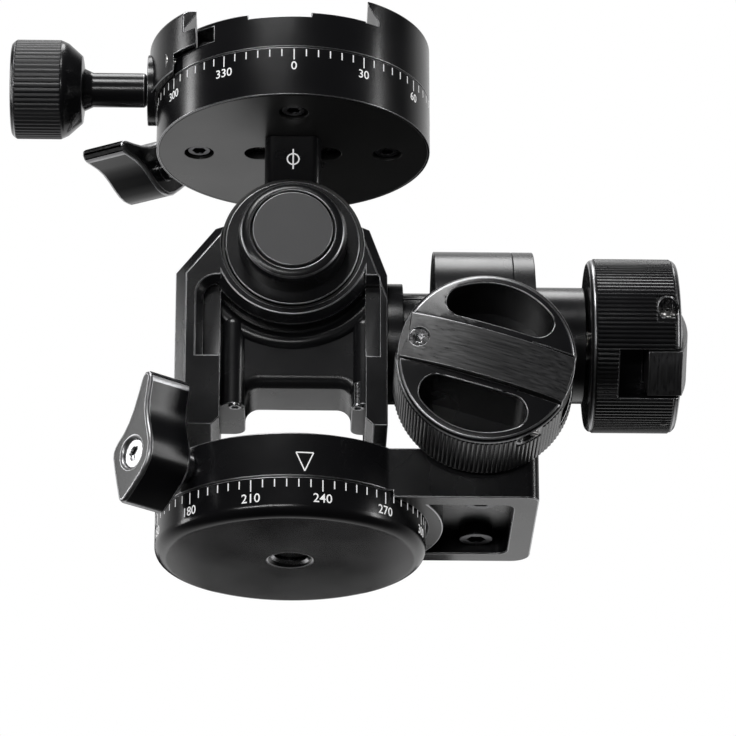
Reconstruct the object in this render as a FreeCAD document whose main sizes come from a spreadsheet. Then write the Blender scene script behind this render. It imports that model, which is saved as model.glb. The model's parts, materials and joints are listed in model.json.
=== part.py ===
"""Geared tripod head: a panning base, a worm-driven tilt frame, a worm-driven roll head and
a panning quick-release clamp.

Frame: the origin is the mouth of the tripod thread, +Z is up, -Y is the side of the tilt
knob and +X is the side of the roll knob. Lengths are in millimetres.
"""
import FreeCAD, Part
import math
import os

import Sketcher
from FreeCAD import Placement, Rotation, Vector

NODE_FOLDER = "parts"

SIZES = {
    # base and pan ring
    "base_radius": 28.6,
    "base_height": 8.3,
    "base_edge": 2.6,
    "thread_radius": 3.97,
    "thread_depth": 9.5,
    "thread_chamfer": 0.9,
    "seam_gap": 0.15,
    "running_gap": 0.05,
    "axial_gap": 0.1,
    "boss_radius": 12.0,
    "lip_height": 2.9,
    "drum_radius": 18.0,
    "drum_height": 4.4,
    "groove_depth": 1.0,
    "groove_half": 1.4,
    "drum_bore": 4.0,
    "drum_screw_circle": 8.0,
    "upper_lip_height": 4.8,
    "small_screw_radius": 1.25,
    "small_head_radius": 2.3,
    "small_head_height": 1.3,
    "small_screw_length": 5.0,
    "ring_height": 9.55,
    "cap_radius": 20.0,
    "cap_height": 1.4,
    "glide_inner": 19.0,
    "glide_outer": 26.0,
    "glide_height": 0.8,
    "glide_lift": 0.03,
    # extension of the pan ring
    "extension_reach": 51.6,
    "extension_half": 20.0,
    "extension_bottom": 7.1,
    "extension_front_corner": 2.5,
    "extension_rear_corner": 4.0,
    "pocket_wall_radius": 32.3,
    "pocket_end_wall": 5.1,
    "pocket_front": 15.3,
    "pocket_rear": 15.3,
    "pocket_roof": 6.4,
    "pocket_corner": 2.5,
    # upright
    "upright_left": 30.2,
    "cover_thickness": 4.6,
    "upright_half": 20.0,
    "gear_inset": 11.8,
    "gear_width": 6.0,
    "gear_room": 0.5,
    "bush_wall": 2.0,
    "upright_screw_radius": 2.0,
    "upright_screw_spread": 11.4,
    "upright_head_radius": 3.6,
    "upright_head_height": 2.6,
    "upright_screw_grip": 6.0,
    "cover_screw_inset": 2.8,
    "cover_screw_drop": 12.5,
    "cover_screw_foot": 3.6,
    "cover_screw_radius": 1.25,
    "cover_head_radius": 2.2,
    "cover_head_depth": 2.0,
    "cover_screw_length": 9.0,
    # gears
    "gear_module": 0.6,
    "tilt_teeth": 52,
    "roll_teeth": 48,
    "worm_radius": 3.3,
    "tooth_gap": 0.2,
    "flank_angle": 20.0,
    "worm_turns": 7,
    "tilt_rise": 31.4,
    # drive shafts
    "journal_radius": 2.5,
    "bush_outer": 4.4,
    "worm_bush_length": 6.0,
    "drive_radius": 3.0,
    "knob_bore": 3.0,
    "knob_hex_depth": 0.6,
    "tilt_knob_rear": 20.6,
    "shaft_seat": 10.4,
    # tilt shaft
    "shaft_outer": 8.0,
    "shaft_inner": 4.2,
    "flange_radius": 13.0,
    "flange_height": 3.4,
    "shoulder_radius": 11.0,
    "flange_screw_circle": 10.6,
    "collar_radius": 12.5,
    "collar_length": 11.0,
    "gear_hub_radius": 11.0,
    # tilt frame
    "frame_left": 24.8,
    "frame_right": 20.3,
    "frame_half": 14.0,
    "frame_bottom_drop": 24.1,
    "frame_top_rise": 3.9,
    "frame_bevel": 2.2,
    "foot_drop": 17.8,
    "foot_bevel": 1.7,
    "shoulder_left": 16.5,
    "shoulder_drop": 10.5,
    "arch_left": 9.8,
    "arch_right": 12.8,
    "arch_roof_drop": 12.9,
    "arch_corner": 3.0,
    "bar_half": 8.5,
    "rear_roof_drop": 6.4,
    "rib_radius": 2.6,
    "rib_left": 12.4,
    "rib_right": 15.5,
    "rib_front": 7.5,
    "rib_top_rise": 3.1,
    "cross_rib_radius": 2.1,
    "cross_rib_drop": 2.3,
    "foot_screw_left": 11.9,
    "foot_screw_right": 14.1,
    "foot_screw_front": 9.2,
    "foot_screw_radius": 1.4,
    "foot_screw_height": 0.7,
    "foot_screw_length": 5.0,
    "plate_arc": 18.3,
    "front_pocket_left": 18.8,
    "pocket_bevel": 1.7,
    "pocket_left": 20.3,
    "pocket_right": 18.6,
    "pocket_top_drop": 9.2,
    "pocket_step": 3.0,
    "pocket_floor_drop": 8.4,
    "pocket_corner_radius": 3.0,
    "inner_top_drop": 15.0,
    "under_hub_radius": 22.0,
    "web_round": 2.5,
    "inner_left": 15.1,
    "inner_right": 15.6,
    "fork_half": 9.45,
    "fork_gap": 0.15,
    "cavity_radius": 15.6,
    "roll_bush_wall": 0.8,
    "roll_bush_recess": 0.8,
    "plate_screw_inset": 2.35,
    "plate_screw_rise": 7.4,
    "plate_screw_drop": 14.0,
    # roll head
    "hub_radius": 14.4,
    "hub_ring_height": 4.55,
    "hub_core_radius": 13.2,
    "hub_groove_radius": 11.0,
    "hub_boss_radius": 11.6,
    "hub_boss_height": 7.0,
    "hub_boss_edge": 2.2,
    "hub_cap_radius": 8.5,
    "hub_cap_gap": 0.45,
    "hub_cap_height": 0.4,
    "hub_cap_depth": 1.2,
    "neck_half_width": 6.15,
    "neck_corner": 2.0,
    "neck_rise": 27.3,
    "tenon_half": 10.6,
    "tenon_depth": 6.0,
    "neck_screw_spread": 6.6,
    # platform dial
    "dial_radius": 30.0,
    "dial_height": 11.2,
    "plate_radius": 29.4,
    "plate_height": 1.8,
    "dial_screw_circle": 20.6,
    "dial_screw_radius": 1.5,
    "dial_head_radius": 2.5,
    "dial_head_sink": 0.5,
    "dial_counterbore": 3.2,
    "dial_head_height": 1.3,
    "dial_screw_length": 7.0,
    # clamp
    "clamp_rim": 8.25,
    "jaw_height": 5.0,
    "fixed_lip_inset": 14.2,
    "jaw_inset": 8.8,
    "jaw_undercut": 2.4,
    "lip_relief": 0.3,
    "lip_land": 0.8,
    "jaw_edge": 1.2,
    "jaw_open": 1.8,
    "jaw_lobe_radius": 7.8,
    "jaw_lobe_depth": 2.0,
    "jaw_lobe_proud": 0.3,
    "jaw_travel_gap": 0.2,
    "ledge_inset": 4.2,
    "ledge_rise": 3.75,
    "rim_notch_inset": 12.7,
    "rim_notch_half": 17.0,
    "rim_notch_roof": 1.0,
    "jaw_half_length": 20.0,
    "channel_depth": 1.0,
    "channel_left": 9.8,
    "channel_right": 3.6,
    "clamp_screw_radius": 2.0,
    "clamp_screw_rise": 3.65,
    "clamp_screw_tip": 4.0,
    "clamp_screw_grip": 8.0,
    "guide_pin_radius": 1.5,
    "guide_pin_inset": 2.2,
    "guide_pin_spread": 14.0,
    "guide_pin_length": 19.0,
    "clamp_knob_radius": 10.75,
    "clamp_knob_outer": 62.0,
    "clamp_knob_inner": 50.0,
    "clamp_cone_radius": 7.4,
    "clamp_cone_end": 46.4,
    "clamp_stem_start": 44.1,
    "clamp_stem_radius": 3.8,
    "clamp_knob_edge": 0.8,
    # drive knobs
    "knob_radius": 18.5,
    "knob_length": 19.0,
    "knob_dome": 1.6,
    "knob_edge": 0.7,
    "roll_knob_gap": 0.7,
    "lever_half_width": 5.0,
    "lever_side_gap": 0.15,
    "lever_floor": 11.8,
    "lever_floor_gap": 0.3,
    "lever_crown": 2.6,
    "lever_pin_offset": 12.8,
    "lever_pin_height": 16.2,
    "lever_pin_radius": 1.2,
    "lever_pin_head": 1.85,
    "pin_head_height": 0.6,
    "pin_head_seat": 11.6,
    "pin_slot_half": 0.3,
    "notch_start": 8.3,
    "notch_floor": 6.0,
    "notch_half_width": 5.5,
    "recess_radius": 16.4,
    "recess_inner": 6.9,
    "recess_floor": 3.0,
    "recess_corner": 3.4,
    "grub_offset": 14.4,
    "grub_radius": 2.1,
    "grub_length": 3.0,
    "tilt_knob_turn": -16.5,
    "roll_knob_turn": -48.6,
    # lock levers
    "pan_lever_azimuth": 220.0,
    "pan_lever_turn": 0.0,
    "dial_lever_azimuth": 149.0,
    "dial_lever_turn": -78.0,
    "lock_stud_radius": 2.2,
    "dial_collar_radius": 2.8,
    "pan_collar_radius": 3.5,
    "lock_collar_length": 3.2,
    "lock_lever_depth": 11.0,
    "lock_head_radius": 3.1,
    "lock_head_depth": 3.0,
    "shoe_length": 3.0,
    "shoe_gap": 0.3,
}

# The lock lever's outline seen along its stud: sideways, and up towards the long wing.
LEVER_OUTLINE = (
    (5.9, 15.2), (5.4, 12.8), (4.9, 10.4), (4.8, 8.0), (5.2, 5.6), (5.8, 3.2), (6.2, 1.0),
    (6.1, -1.0), (5.4, -3.2), (3.6, -5.4), (0.6, -7.8), (-2.0, -9.7), (-3.2, -10.1),
    (-4.2, -9.4), (-5.0, -6.4), (-5.9, -2.8), (-6.6, 0.6), (-6.4, 2.2), (-5.2, 3.6),
    (-3.4, 5.0), (-1.6, 7.0), (0.0, 9.6), (1.4, 12.6), (2.6, 15.4), (3.4, 16.6),
    (4.4, 17.0), (5.4, 16.4),
)
ALONG = {
    "x": Rotation(Vector(0, 1, 0), 90),
    "y": Rotation(Vector(1, 0, 0), -90),
    "z": Rotation(),
}


class Size:
    """A length, with the sheet expression that gives it and its value."""

    def __init__(self, text, value):
        self.text = text
        self.value = value

    def joined(self, other, sign, value):
        return Size(f"({self.text} {sign} {as_size(other).text})", value)

    def __add__(self, other):
        return self.joined(other, "+", self.value + as_size(other).value)

    def __sub__(self, other):
        return self.joined(other, "-", self.value - as_size(other).value)

    def __mul__(self, other):
        return self.joined(other, "*", self.value * as_size(other).value)

    def __truediv__(self, other):
        return self.joined(other, "/", self.value / as_size(other).value)

    def __neg__(self):
        return Size(f"(0 - {self.text})", -self.value)


def as_size(thing):
    if isinstance(thing, Size):
        return thing
    return Size(repr(thing), thing)


class Sizes:
    """The spreadsheet of driving sizes, each one an attribute of this object."""

    def __init__(self, doc):
        sheet = doc.addObject("Spreadsheet::Sheet", "Sizes")
        for row, (alias, number) in enumerate(SIZES.items(), start=1):
            sheet.set(f"A{row}", alias)
            sheet.set(f"B{row}", str(number))
            sheet.setAlias(f"B{row}", alias)
            setattr(self, alias, Size(f"Sizes.{alias}", number))
        doc.recompute()


doc = FreeCAD.newDocument("geared_tripod_head")
s = Sizes(doc)
subparts = []

# Heights that several pieces share, from the base up.
RING_BOTTOM = s.base_height + s.seam_gap
RING_TOP = RING_BOTTOM + s.ring_height
BOSS_TOP = RING_BOTTOM + s.lip_height + s.axial_gap
DRUM_TOP = BOSS_TOP + s.drum_height
PAN_LOCK_Z = BOSS_TOP + s.drum_height / 2
TILT_Z = RING_TOP + s.tilt_rise
WORM_Z = TILT_Z - s.tilt_teeth * s.gear_module / 2 - s.worm_radius
ROLL_Z = TILT_Z + s.roll_teeth * s.gear_module / 2 + s.worm_radius
DIAL_BOTTOM = ROLL_Z + s.neck_rise
DIAL_TOP = DIAL_BOTTOM + s.dial_height
UPPER_DRUM_TOP = DIAL_TOP - s.upper_lip_height - s.axial_gap
UPPER_DRUM_BOTTOM = UPPER_DRUM_TOP - s.drum_height
DIAL_LOCK_Z = UPPER_DRUM_BOTTOM + s.drum_height / 2
CLAMP_BOTTOM = DIAL_TOP + s.seam_gap
CLAMP_TOP = CLAMP_BOTTOM + s.clamp_rim
JAW_TOP = CLAMP_TOP + s.jaw_height
CLAMP_SCREW_Z = CLAMP_BOTTOM + s.clamp_screw_rise
TILT_BUSH_RADIUS = s.shaft_outer + s.bush_wall

# Level distances that several pieces share.
POCKET_REACH = s.extension_reach - s.pocket_end_wall
UPRIGHT_JOINT = s.extension_reach - s.cover_thickness
GEAR_PLANE = s.extension_reach - s.gear_inset
COLLAR_END = s.extension_reach + s.collar_length
ROLL_KNOB_START = COLLAR_END + s.roll_knob_gap
JAW_LIP = s.dial_radius - s.jaw_inset
FIXED_LIP = s.dial_radius - s.fixed_lip_inset
LEDGE_REACH = s.dial_radius - s.ledge_inset
RIM_NOTCH_REACH = s.dial_radius - s.rim_notch_inset
GUIDE_PIN_START = s.dial_radius - s.guide_pin_inset


def bind(thing, name, size):
    """Bind a property to the sheet."""
    thing.setExpression(name, as_size(size).text)


def place(thing, x=0, y=0, z=0, rotation=None):
    """Turn a piece, then bind where it stands."""
    if rotation is not None:
        thing.Placement = Placement(Vector(), rotation)
    for letter, size in zip("xyz", (x, y, z)):
        bind(thing, f"Placement.Base.{letter}", size)
    return thing


def node(thing, label):
    """Name a finished sub-part."""
    thing.Label = label
    subparts.append(thing)
    return thing


def box(xs, ys, zs):
    """A block between three pairs of sizes."""
    block = doc.addObject("Part::Box", "Block")
    for name, (low, high) in zip(("Length", "Width", "Height"), (xs, ys, zs)):
        bind(block, name, as_size(high) - low)
    return place(block, xs[0], ys[0], zs[0])


def cylinder(radius, low, high, axis="z", at=(0, 0)):
    """A cylinder along an axis, from low to high; at gives its other two coordinates."""
    solid = doc.addObject("Part::Cylinder", "Cylinder")
    bind(solid, "Radius", radius)
    bind(solid, "Height", as_size(high) - low)
    spots = {"x": (low, *at), "y": (at[0], low, at[1]), "z": (*at, low)}
    return place(solid, *spots[axis], rotation=ALONG[axis])


def cone(low_radius, high_radius, low, high, axis="z", at=(0, 0)):
    """A cone's frustum along an axis, placed as a cylinder is."""
    solid = doc.addObject("Part::Cone", "Cone")
    bind(solid, "Radius1", low_radius)
    bind(solid, "Radius2", high_radius)
    bind(solid, "Height", as_size(high) - low)
    spots = {"x": (low, *at), "y": (at[0], low, at[1]), "z": (*at, low)}
    return place(solid, *spots[axis], rotation=ALONG[axis])


def fuse(*pieces):
    """One solid, or one group of solids, out of several."""
    if len(pieces) == 1:
        return pieces[0]
    joined = doc.addObject("Part::MultiFuse", "Fusion")
    joined.Shapes = list(pieces)
    joined.Refine = True
    return joined


def cut(base, *tools):
    """A solid with others taken out of it."""
    rest = doc.addObject("Part::Cut", "Cut")
    rest.Base = base
    rest.Tool = fuse(*tools)
    rest.Refine = True
    return rest


def common(base, tool):
    """What two solids share."""
    shared = doc.addObject("Part::Common", "Common")
    shared.Base = base
    shared.Tool = tool
    shared.Refine = True
    return shared


def ring(inner, outer, low, high, axis="z", at=(0, 0)):
    """A ring or tube."""
    return cut(cylinder(outer, low, high, axis, at), cylinder(inner, low, high, axis, at))


def outline(body, plane, points):
    """A closed sketch of straight lines whose corners are bound to the sheet."""
    sketch = body.newObject("Sketcher::SketchObject", "Outline")
    role = [item for item in body.Origin.OriginFeatures if item.Role == plane][0]
    sketch.AttachmentSupport = [(role, "")]
    sketch.MapMode = "FlatFace"
    corners = [(as_size(across), as_size(up)) for across, up in points]
    spots = [Vector(across.value, up.value, 0) for across, up in corners]
    for index, spot in enumerate(spots):
        following = spots[(index + 1) % len(spots)]
        sketch.addGeometry(Part.LineSegment(spot, following), False)
    for index in range(len(spots)):
        following = (index + 1) % len(spots)
        sketch.addConstraint(Sketcher.Constraint("Coincident", index, 2, following, 1))
    for index, corner in enumerate(corners):
        for kind, axis_line, size in zip(("DistanceX", "DistanceY"), (-2, -1), corner):
            if size.text in ("0", "0.0"):
                rule = Sketcher.Constraint("PointOnObject", index, 1, axis_line)
                sketch.addConstraint(rule)
                continue
            rule = Sketcher.Constraint(kind, -1, 1, index, 1, size.value)
            number = sketch.addConstraint(rule)
            sketch.setExpression(f"Constraints[{number}]", size.text)
    return sketch


def turned(points, axis="z", at=(0, 0, 0)):
    """A turned piece: its half section gives a radius and a height along the axis."""
    body = doc.addObject("PartDesign::Body", "Turned")
    sketch = outline(body, "XZ_Plane", points)
    revolution = body.newObject("PartDesign::Revolution", "Revolution")
    revolution.Profile = sketch
    revolution.ReferenceAxis = (sketch, ["V_Axis"])
    revolution.Angle = 360
    sketch.Visibility = False
    return place(body, *at, rotation=ALONG[axis])


def plate(points, low, high, plane="XY_Plane"):
    """A flat piece: an outline padded from low to high along its plane's normal."""
    body = doc.addObject("PartDesign::Body", "Plate")
    sketch = outline(body, plane, points)
    pad = body.newObject("PartDesign::Pad", "Pad")
    pad.Profile = sketch
    bind(pad, "Length", as_size(high) - low)
    sketch.Visibility = False
    if plane == "XZ_Plane":
        return place(body, 0, high, 0)
    if plane == "YZ_Plane":
        return place(body, low, 0, 0)
    return place(body, 0, 0, low)


def rounded(base, size, wanted):
    """Fillet the edges of a solid that the wanted function picks."""
    doc.recompute()
    numbers = [n for n, edge in enumerate(base.Shape.Edges, start=1) if wanted(edge)]
    fillet = doc.addObject("Part::Fillet", "Fillet")
    fillet.Base = base
    fillet.Edges = [(number, size.value, size.value) for number in numbers]
    return fillet


def bevelled(base, size, wanted):
    """Chamfer the edges of a solid that the wanted function picks."""
    doc.recompute()
    numbers = [n for n, edge in enumerate(base.Shape.Edges, start=1) if wanted(edge)]
    chamfer = doc.addObject("Part::Chamfer", "Chamfer")
    chamfer.Base = base
    chamfer.Edges = [(number, size.value, size.value) for number in numbers]
    return chamfer


def is_circle(edge, radius, height, axis=2):
    """Whether an edge is a circle of this radius at this height along an axis."""
    if not isinstance(edge.Curve, Part.Circle):
        return False
    centre = edge.Curve.Center
    near_height = abs((centre.x, centre.y, centre.z)[axis] - height) < 1e-3
    return near_height and abs(edge.Curve.Radius - radius) < 1e-3


def is_upright(edge, x, y):
    """Whether an edge is a vertical line at this spot."""
    first, last = edge.Vertexes[0].Point, edge.Vertexes[-1].Point
    near = abs(first.x - x) < 1e-3 and abs(first.y - y) < 1e-3
    return near and abs(first.x - last.x) < 1e-6 and abs(first.y - last.y) < 1e-6


def polar(radius, count, start=0.0):
    """Points spaced evenly on a circle, each as a pair of sizes."""
    angles = [math.radians(start + 360.0 * step / count) for step in range(count)]
    return [(radius * math.cos(angle), radius * math.sin(angle)) for angle in angles]


def feature(shape):
    """A document object that holds a shape worked out from the sheet's values."""
    thing = doc.addObject("Part::Feature", "Shape")
    thing.Shape = shape
    return thing


# ---------------------------------------------------------------- gears


def tooth_space(pitch_radius, width, slant):
    """The space between two teeth, at the bottom of a wheel whose axis is along Y."""
    module = s.gear_module.value
    half = math.pi * module / 4 + s.tooth_gap.value / 2
    slope = math.tan(math.radians(s.flank_angle.value))
    root = pitch_radius - 1.25 * module
    tip = pitch_radius + 1.6 * module
    root_half = half - 1.25 * module * slope
    tip_half = half + 1.6 * module * slope
    corners = ((-root_half, -root), (root_half, -root), (tip_half, -tip), (-tip_half, -tip))
    shift = width * math.tan(slant) / 2
    wires = []
    for side in (-1, 1):
        points = [Vector(x + side * shift, side * width / 2, z) for x, z in corners]
        wires.append(Part.makePolygon(points + points[:1]))
    return Part.makeLoft(wires, True, True)


def lead_angle():
    return math.atan(s.gear_module.value / (2 * s.worm_radius.value))


def gear_wheel(teeth, bore, slant_sign, first, last):
    """A worm wheel along Y, cut with the tooth spaces from step first to step last."""
    module = s.gear_module.value
    pitch_radius = teeth * module / 2
    width = s.gear_width.value
    start = Vector(0, -width / 2, 0)
    blank = Part.makeCylinder(pitch_radius + module, width, start, Vector(0, 1, 0))
    blank = blank.cut(Part.makeCylinder(bore, width, start, Vector(0, 1, 0)))
    space = tooth_space(pitch_radius, width + 1, slant_sign * lead_angle())
    spaces = []
    for step in range(first, last):
        copy = space.copy()
        copy.rotate(Vector(), Vector(0, 1, 0), 360.0 * step / teeth)
        spaces.append(copy)
    return blank.cut(Part.makeCompound(spaces))


def worm_thread():
    """The right-hand thread of a worm along Z; it meshes with a space at a wheel's foot."""
    module = s.gear_module.value
    pitch = math.pi * module
    slope = math.tan(math.radians(s.flank_angle.value))
    half = pitch / 4 - s.tooth_gap.value / 2
    root = s.worm_radius.value - 1.25 * module - 0.05
    tip = s.worm_radius.value + module
    root_half = half + (s.worm_radius.value - root) * slope
    tip_half = half - module * slope
    turns = s.worm_turns.value
    start = -turns * pitch / 2
    helix = Part.makeHelix(pitch, turns * pitch, s.worm_radius.value)
    corners = ((root, -root_half), (tip, -tip_half), (tip, tip_half), (root, root_half))
    points = [Vector(x, 0, z) for x, z in corners]
    profile = Part.makePolygon(points + points[:1])
    thread = Part.Wire(helix.Edges).makePipeShell([profile], True, True)
    middle = Placement(Vector(0, 0, start), Rotation())
    return thread.transformed(middle.toMatrix(), True)


# ---------------------------------------------------------------- base and pan


def drum(bottom, label):
    """A steel disc with a V groove that a lock shoe presses into."""
    middle = s.drum_height / 2
    points = [
        (s.drum_bore, 0), (s.drum_radius, 0), (s.drum_radius, middle - s.groove_half),
        (s.drum_radius - s.groove_depth, middle), (s.drum_radius, middle + s.groove_half),
        (s.drum_radius, s.drum_height), (s.drum_bore, s.drum_height),
    ]
    disc = turned(points, at=(0, 0, bottom))
    up = label == "pan_drum"
    face = bottom + s.drum_height if up else bottom
    tools = []
    for x, y in polar(s.drum_screw_circle, 3, 90):
        tools.append(cylinder(s.small_screw_radius, bottom, bottom + s.drum_height, at=(x, y)))
        if up:
            tools.append(cone(s.small_screw_radius, s.small_head_radius,
                              face - s.small_head_height, face, at=(x, y)))
        else:
            tools.append(cone(s.small_head_radius, s.small_screw_radius,
                              face, face + s.small_head_height, at=(x, y)))
    return node(cut(disc, *tools), label)


def drum_screws(face, up, label):
    """Three countersunk screws in a drum's face; up is 1 with their heads on top."""
    screws = []
    for x, y in polar(s.drum_screw_circle, 3, 90):
        if up:
            head = cone(s.small_screw_radius, s.small_head_radius,
                        face - s.small_head_height, face, at=(x, y))
            shank = cylinder(s.small_screw_radius, face - s.drum_height - s.lip_height, face, at=(x, y))
        else:
            head = cone(s.small_head_radius, s.small_screw_radius,
                        face, face + s.small_head_height, at=(x, y))
            shank = cylinder(s.small_screw_radius, face, face + s.drum_height + s.lip_height, at=(x, y))
        screws.append(fuse(head, shank))
    return node(fuse(*screws), label)


def base_dial():
    mouth = s.thread_radius + s.thread_chamfer
    points = [
        (0, s.thread_depth), (s.thread_radius, s.thread_depth),
        (s.thread_radius, s.thread_chamfer), (mouth, 0), (s.base_radius, 0),
        (s.base_radius, s.base_height), (s.boss_radius, s.base_height),
        (s.boss_radius, BOSS_TOP), (0, BOSS_TOP),
    ]
    disc = turned(points)
    disc = rounded(disc, s.base_edge, lambda edge: is_circle(edge, s.base_radius.value, 0))
    holes = []
    for x, y in polar(s.drum_screw_circle, 3, 90):
        holes.append(cylinder(s.small_screw_radius, BOSS_TOP - s.lip_height, BOSS_TOP, at=(x, y)))
    node(cut(disc, *holes), "base_dial")


def pan_ring():
    """The pan ring, one piece with the block that carries the upright."""
    outer = cylinder(s.base_radius, RING_BOTTOM, RING_TOP)
    block = box((0, s.extension_reach), (-s.extension_half, s.extension_half),
                (s.extension_bottom, RING_TOP))
    reach = s.extension_reach.value
    half = s.extension_half.value
    block = rounded(block, s.extension_front_corner, lambda edge: is_upright(edge, reach, -half))
    block = rounded(block, s.extension_rear_corner, lambda edge: is_upright(edge, reach, half))
    hollow = box((0, POCKET_REACH), (-s.pocket_front, s.pocket_rear),
                 (s.extension_bottom, RING_TOP - s.pocket_roof))
    far = POCKET_REACH.value
    hollow = rounded(hollow, s.pocket_corner,
                     lambda edge: is_upright(edge, far, -s.pocket_front.value)
                     or is_upright(edge, far, s.pocket_rear.value))
    hollow = cut(hollow, cylinder(s.pocket_wall_radius, 0, RING_TOP))
    block = cut(block, cylinder(s.base_radius + s.seam_gap * 3, 0, RING_BOTTOM), hollow)
    solid = fuse(outer, block)
    glide_top = s.base_height + s.glide_lift + s.glide_height
    stud = lock_direction(s.pan_lever_azimuth)
    bores = [
        cylinder(s.boss_radius + s.running_gap, RING_BOTTOM, RING_TOP),
        cylinder(s.drum_radius + s.running_gap, RING_BOTTOM + s.lip_height, RING_TOP),
        cylinder(s.cap_radius, RING_TOP - s.cap_height, RING_TOP),
        ring(s.glide_inner, s.glide_outer, RING_BOTTOM, glide_top),
        radial_cylinder(s.lock_stud_radius + s.running_gap, s.boss_radius, s.base_radius + 2,
                        stud, PAN_LOCK_Z),
    ]
    for side in (-1, 1):
        spot = (GEAR_PLANE, s.upright_screw_spread * side)
        bores.append(cylinder(s.upright_screw_radius, s.extension_bottom, RING_TOP, at=spot))
    node(cut(solid, *bores), "pan_ring")


def pan_small_parts():
    low = s.base_height + s.glide_lift
    node(ring(s.glide_inner, s.glide_outer, low, low + s.glide_height), "pan_glide_ring")
    node(cylinder(s.cap_radius, RING_TOP - s.cap_height, RING_TOP), "pan_cap")
    drum(BOSS_TOP, "pan_drum")
    drum_screws(DRUM_TOP, True, "pan_drum_screws")


# ---------------------------------------------------------------- lock levers


def lock_direction(azimuth):
    """The level direction of a lock lever's stud, outwards."""
    angle = math.radians(azimuth.value)
    return Vector(math.cos(angle), math.sin(angle), 0)


def radial_cylinder(radius, low, high, direction, height):
    """A level cylinder along a direction, from one distance to another."""
    solid = doc.addObject("Part::Cylinder", "Radial")
    bind(solid, "Radius", radius)
    bind(solid, "Height", as_size(high) - low)
    turn = Rotation(Vector(0, 0, 1), direction)
    start = as_size(low)
    return place(solid, start * direction.x, start * direction.y, height, rotation=turn)


def lock_lever(prefix, rim, collar_radius, azimuth, height, turn):
    """A twin-wing lock lever with its stud, its screw and the shoe that it drives."""
    way = lock_direction(azimuth)
    shoe_end = s.drum_radius + s.shoe_length
    back = rim + s.lock_collar_length
    front = back + s.lock_lever_depth
    # the shoe's cone fits the V groove
    tip_start = s.drum_radius - s.groove_depth * 0.6
    tip = doc.addObject("Part::Cone", "Shoe_tip")
    bind(tip, "Radius1", s.groove_half * 0.2)
    bind(tip, "Radius2", s.groove_half)
    bind(tip, "Height", s.groove_depth)
    level = Rotation(Vector(0, 0, 1), way)
    place(tip, tip_start * way.x, tip_start * way.y, height, rotation=level)
    # the shoe's shank stays outside the drum's round side
    shank = radial_cylinder(s.lock_stud_radius - s.running_gap, s.drum_radius - s.groove_depth,
                            shoe_end, way, height)
    shank = cut(shank, cylinder(s.drum_radius + s.running_gap * 2, height - s.drum_height,
                                height + s.drum_height))
    node(fuse(tip, shank), f"{prefix}_lock_shoe")
    stud = radial_cylinder(s.lock_stud_radius, shoe_end + s.shoe_gap, front - s.lock_head_depth,
                           way, height)
    collar = radial_cylinder(collar_radius, rim + s.seam_gap, back, way, height)
    node(fuse(stud, collar), f"{prefix}_lock_stud")
    # the lever's outline lies across the stud
    body = doc.addObject("PartDesign::Body", "Lever")
    sketch = outline(body, "XY_Plane", LEVER_OUTLINE)
    pad = body.newObject("PartDesign::Pad", "Pad")
    pad.Profile = sketch
    bind(pad, "Length", s.lock_lever_depth)
    stand = level_frame(way, turn)
    lever = place(body, back * way.x, back * way.y, height, rotation=stand)
    socket = radial_cylinder(s.lock_head_radius, front - s.lock_head_depth, front + 1, way, height)
    bore = radial_cylinder(s.lock_stud_radius, back - 1, front, way, height)
    node(cut(lever, socket, bore), f"{prefix}_lock_lever")
    head = radial_cylinder(s.lock_head_radius - s.running_gap, front - s.lock_head_depth,
                           front - s.lock_head_depth / 4, way, height)
    hexagon = hex_socket(s.lock_head_radius * 0.5, s.lock_head_depth / 3)
    place(hexagon, (front - s.lock_head_depth / 2) * way.x,
          (front - s.lock_head_depth / 2) * way.y, height, rotation=level)
    node(cut(head, hexagon), f"{prefix}_lever_screw")


def is_along_z(edge):
    first, last = edge.Vertexes[0].Point, edge.Vertexes[-1].Point
    return abs(first.z - last.z) > 1 and abs(first.x - last.x) < 1e-6


def hex_socket(radius, depth):
    """A hexagonal recess along Z."""
    prism = doc.addObject("Part::Prism", "Hexagon")
    prism.Polygon = 6
    bind(prism, "Circumradius", radius)
    bind(prism, "Height", depth)
    return prism


def level_frame(way, turn):
    """Turns a lever's outline so that its normal is way and its long wing is turned from up."""
    across = Vector(-way.y, way.x, 0)
    upright = Rotation(across, Vector(0, 0, 1), way, "ZXY")
    return upright * Rotation(Vector(0, 0, 1), turn)


# ---------------------------------------------------------------- upright and tilt drive


def upright_blank(low, high):
    half = s.upright_half
    block = box((low, high), (-half, half), (RING_TOP, TILT_Z))
    top = cylinder(half, low, high, "x", (0, TILT_Z))
    return fuse(block, top)


def cover_screw_spots():
    """The cover screws, as level and height offsets from the tilt axis."""
    side = s.upright_half - s.cover_screw_inset
    high = TILT_Z - s.cover_screw_drop
    low = RING_TOP + s.cover_screw_foot
    return [(-side, high), (side, high), (-side, low), (side, low)]


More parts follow.
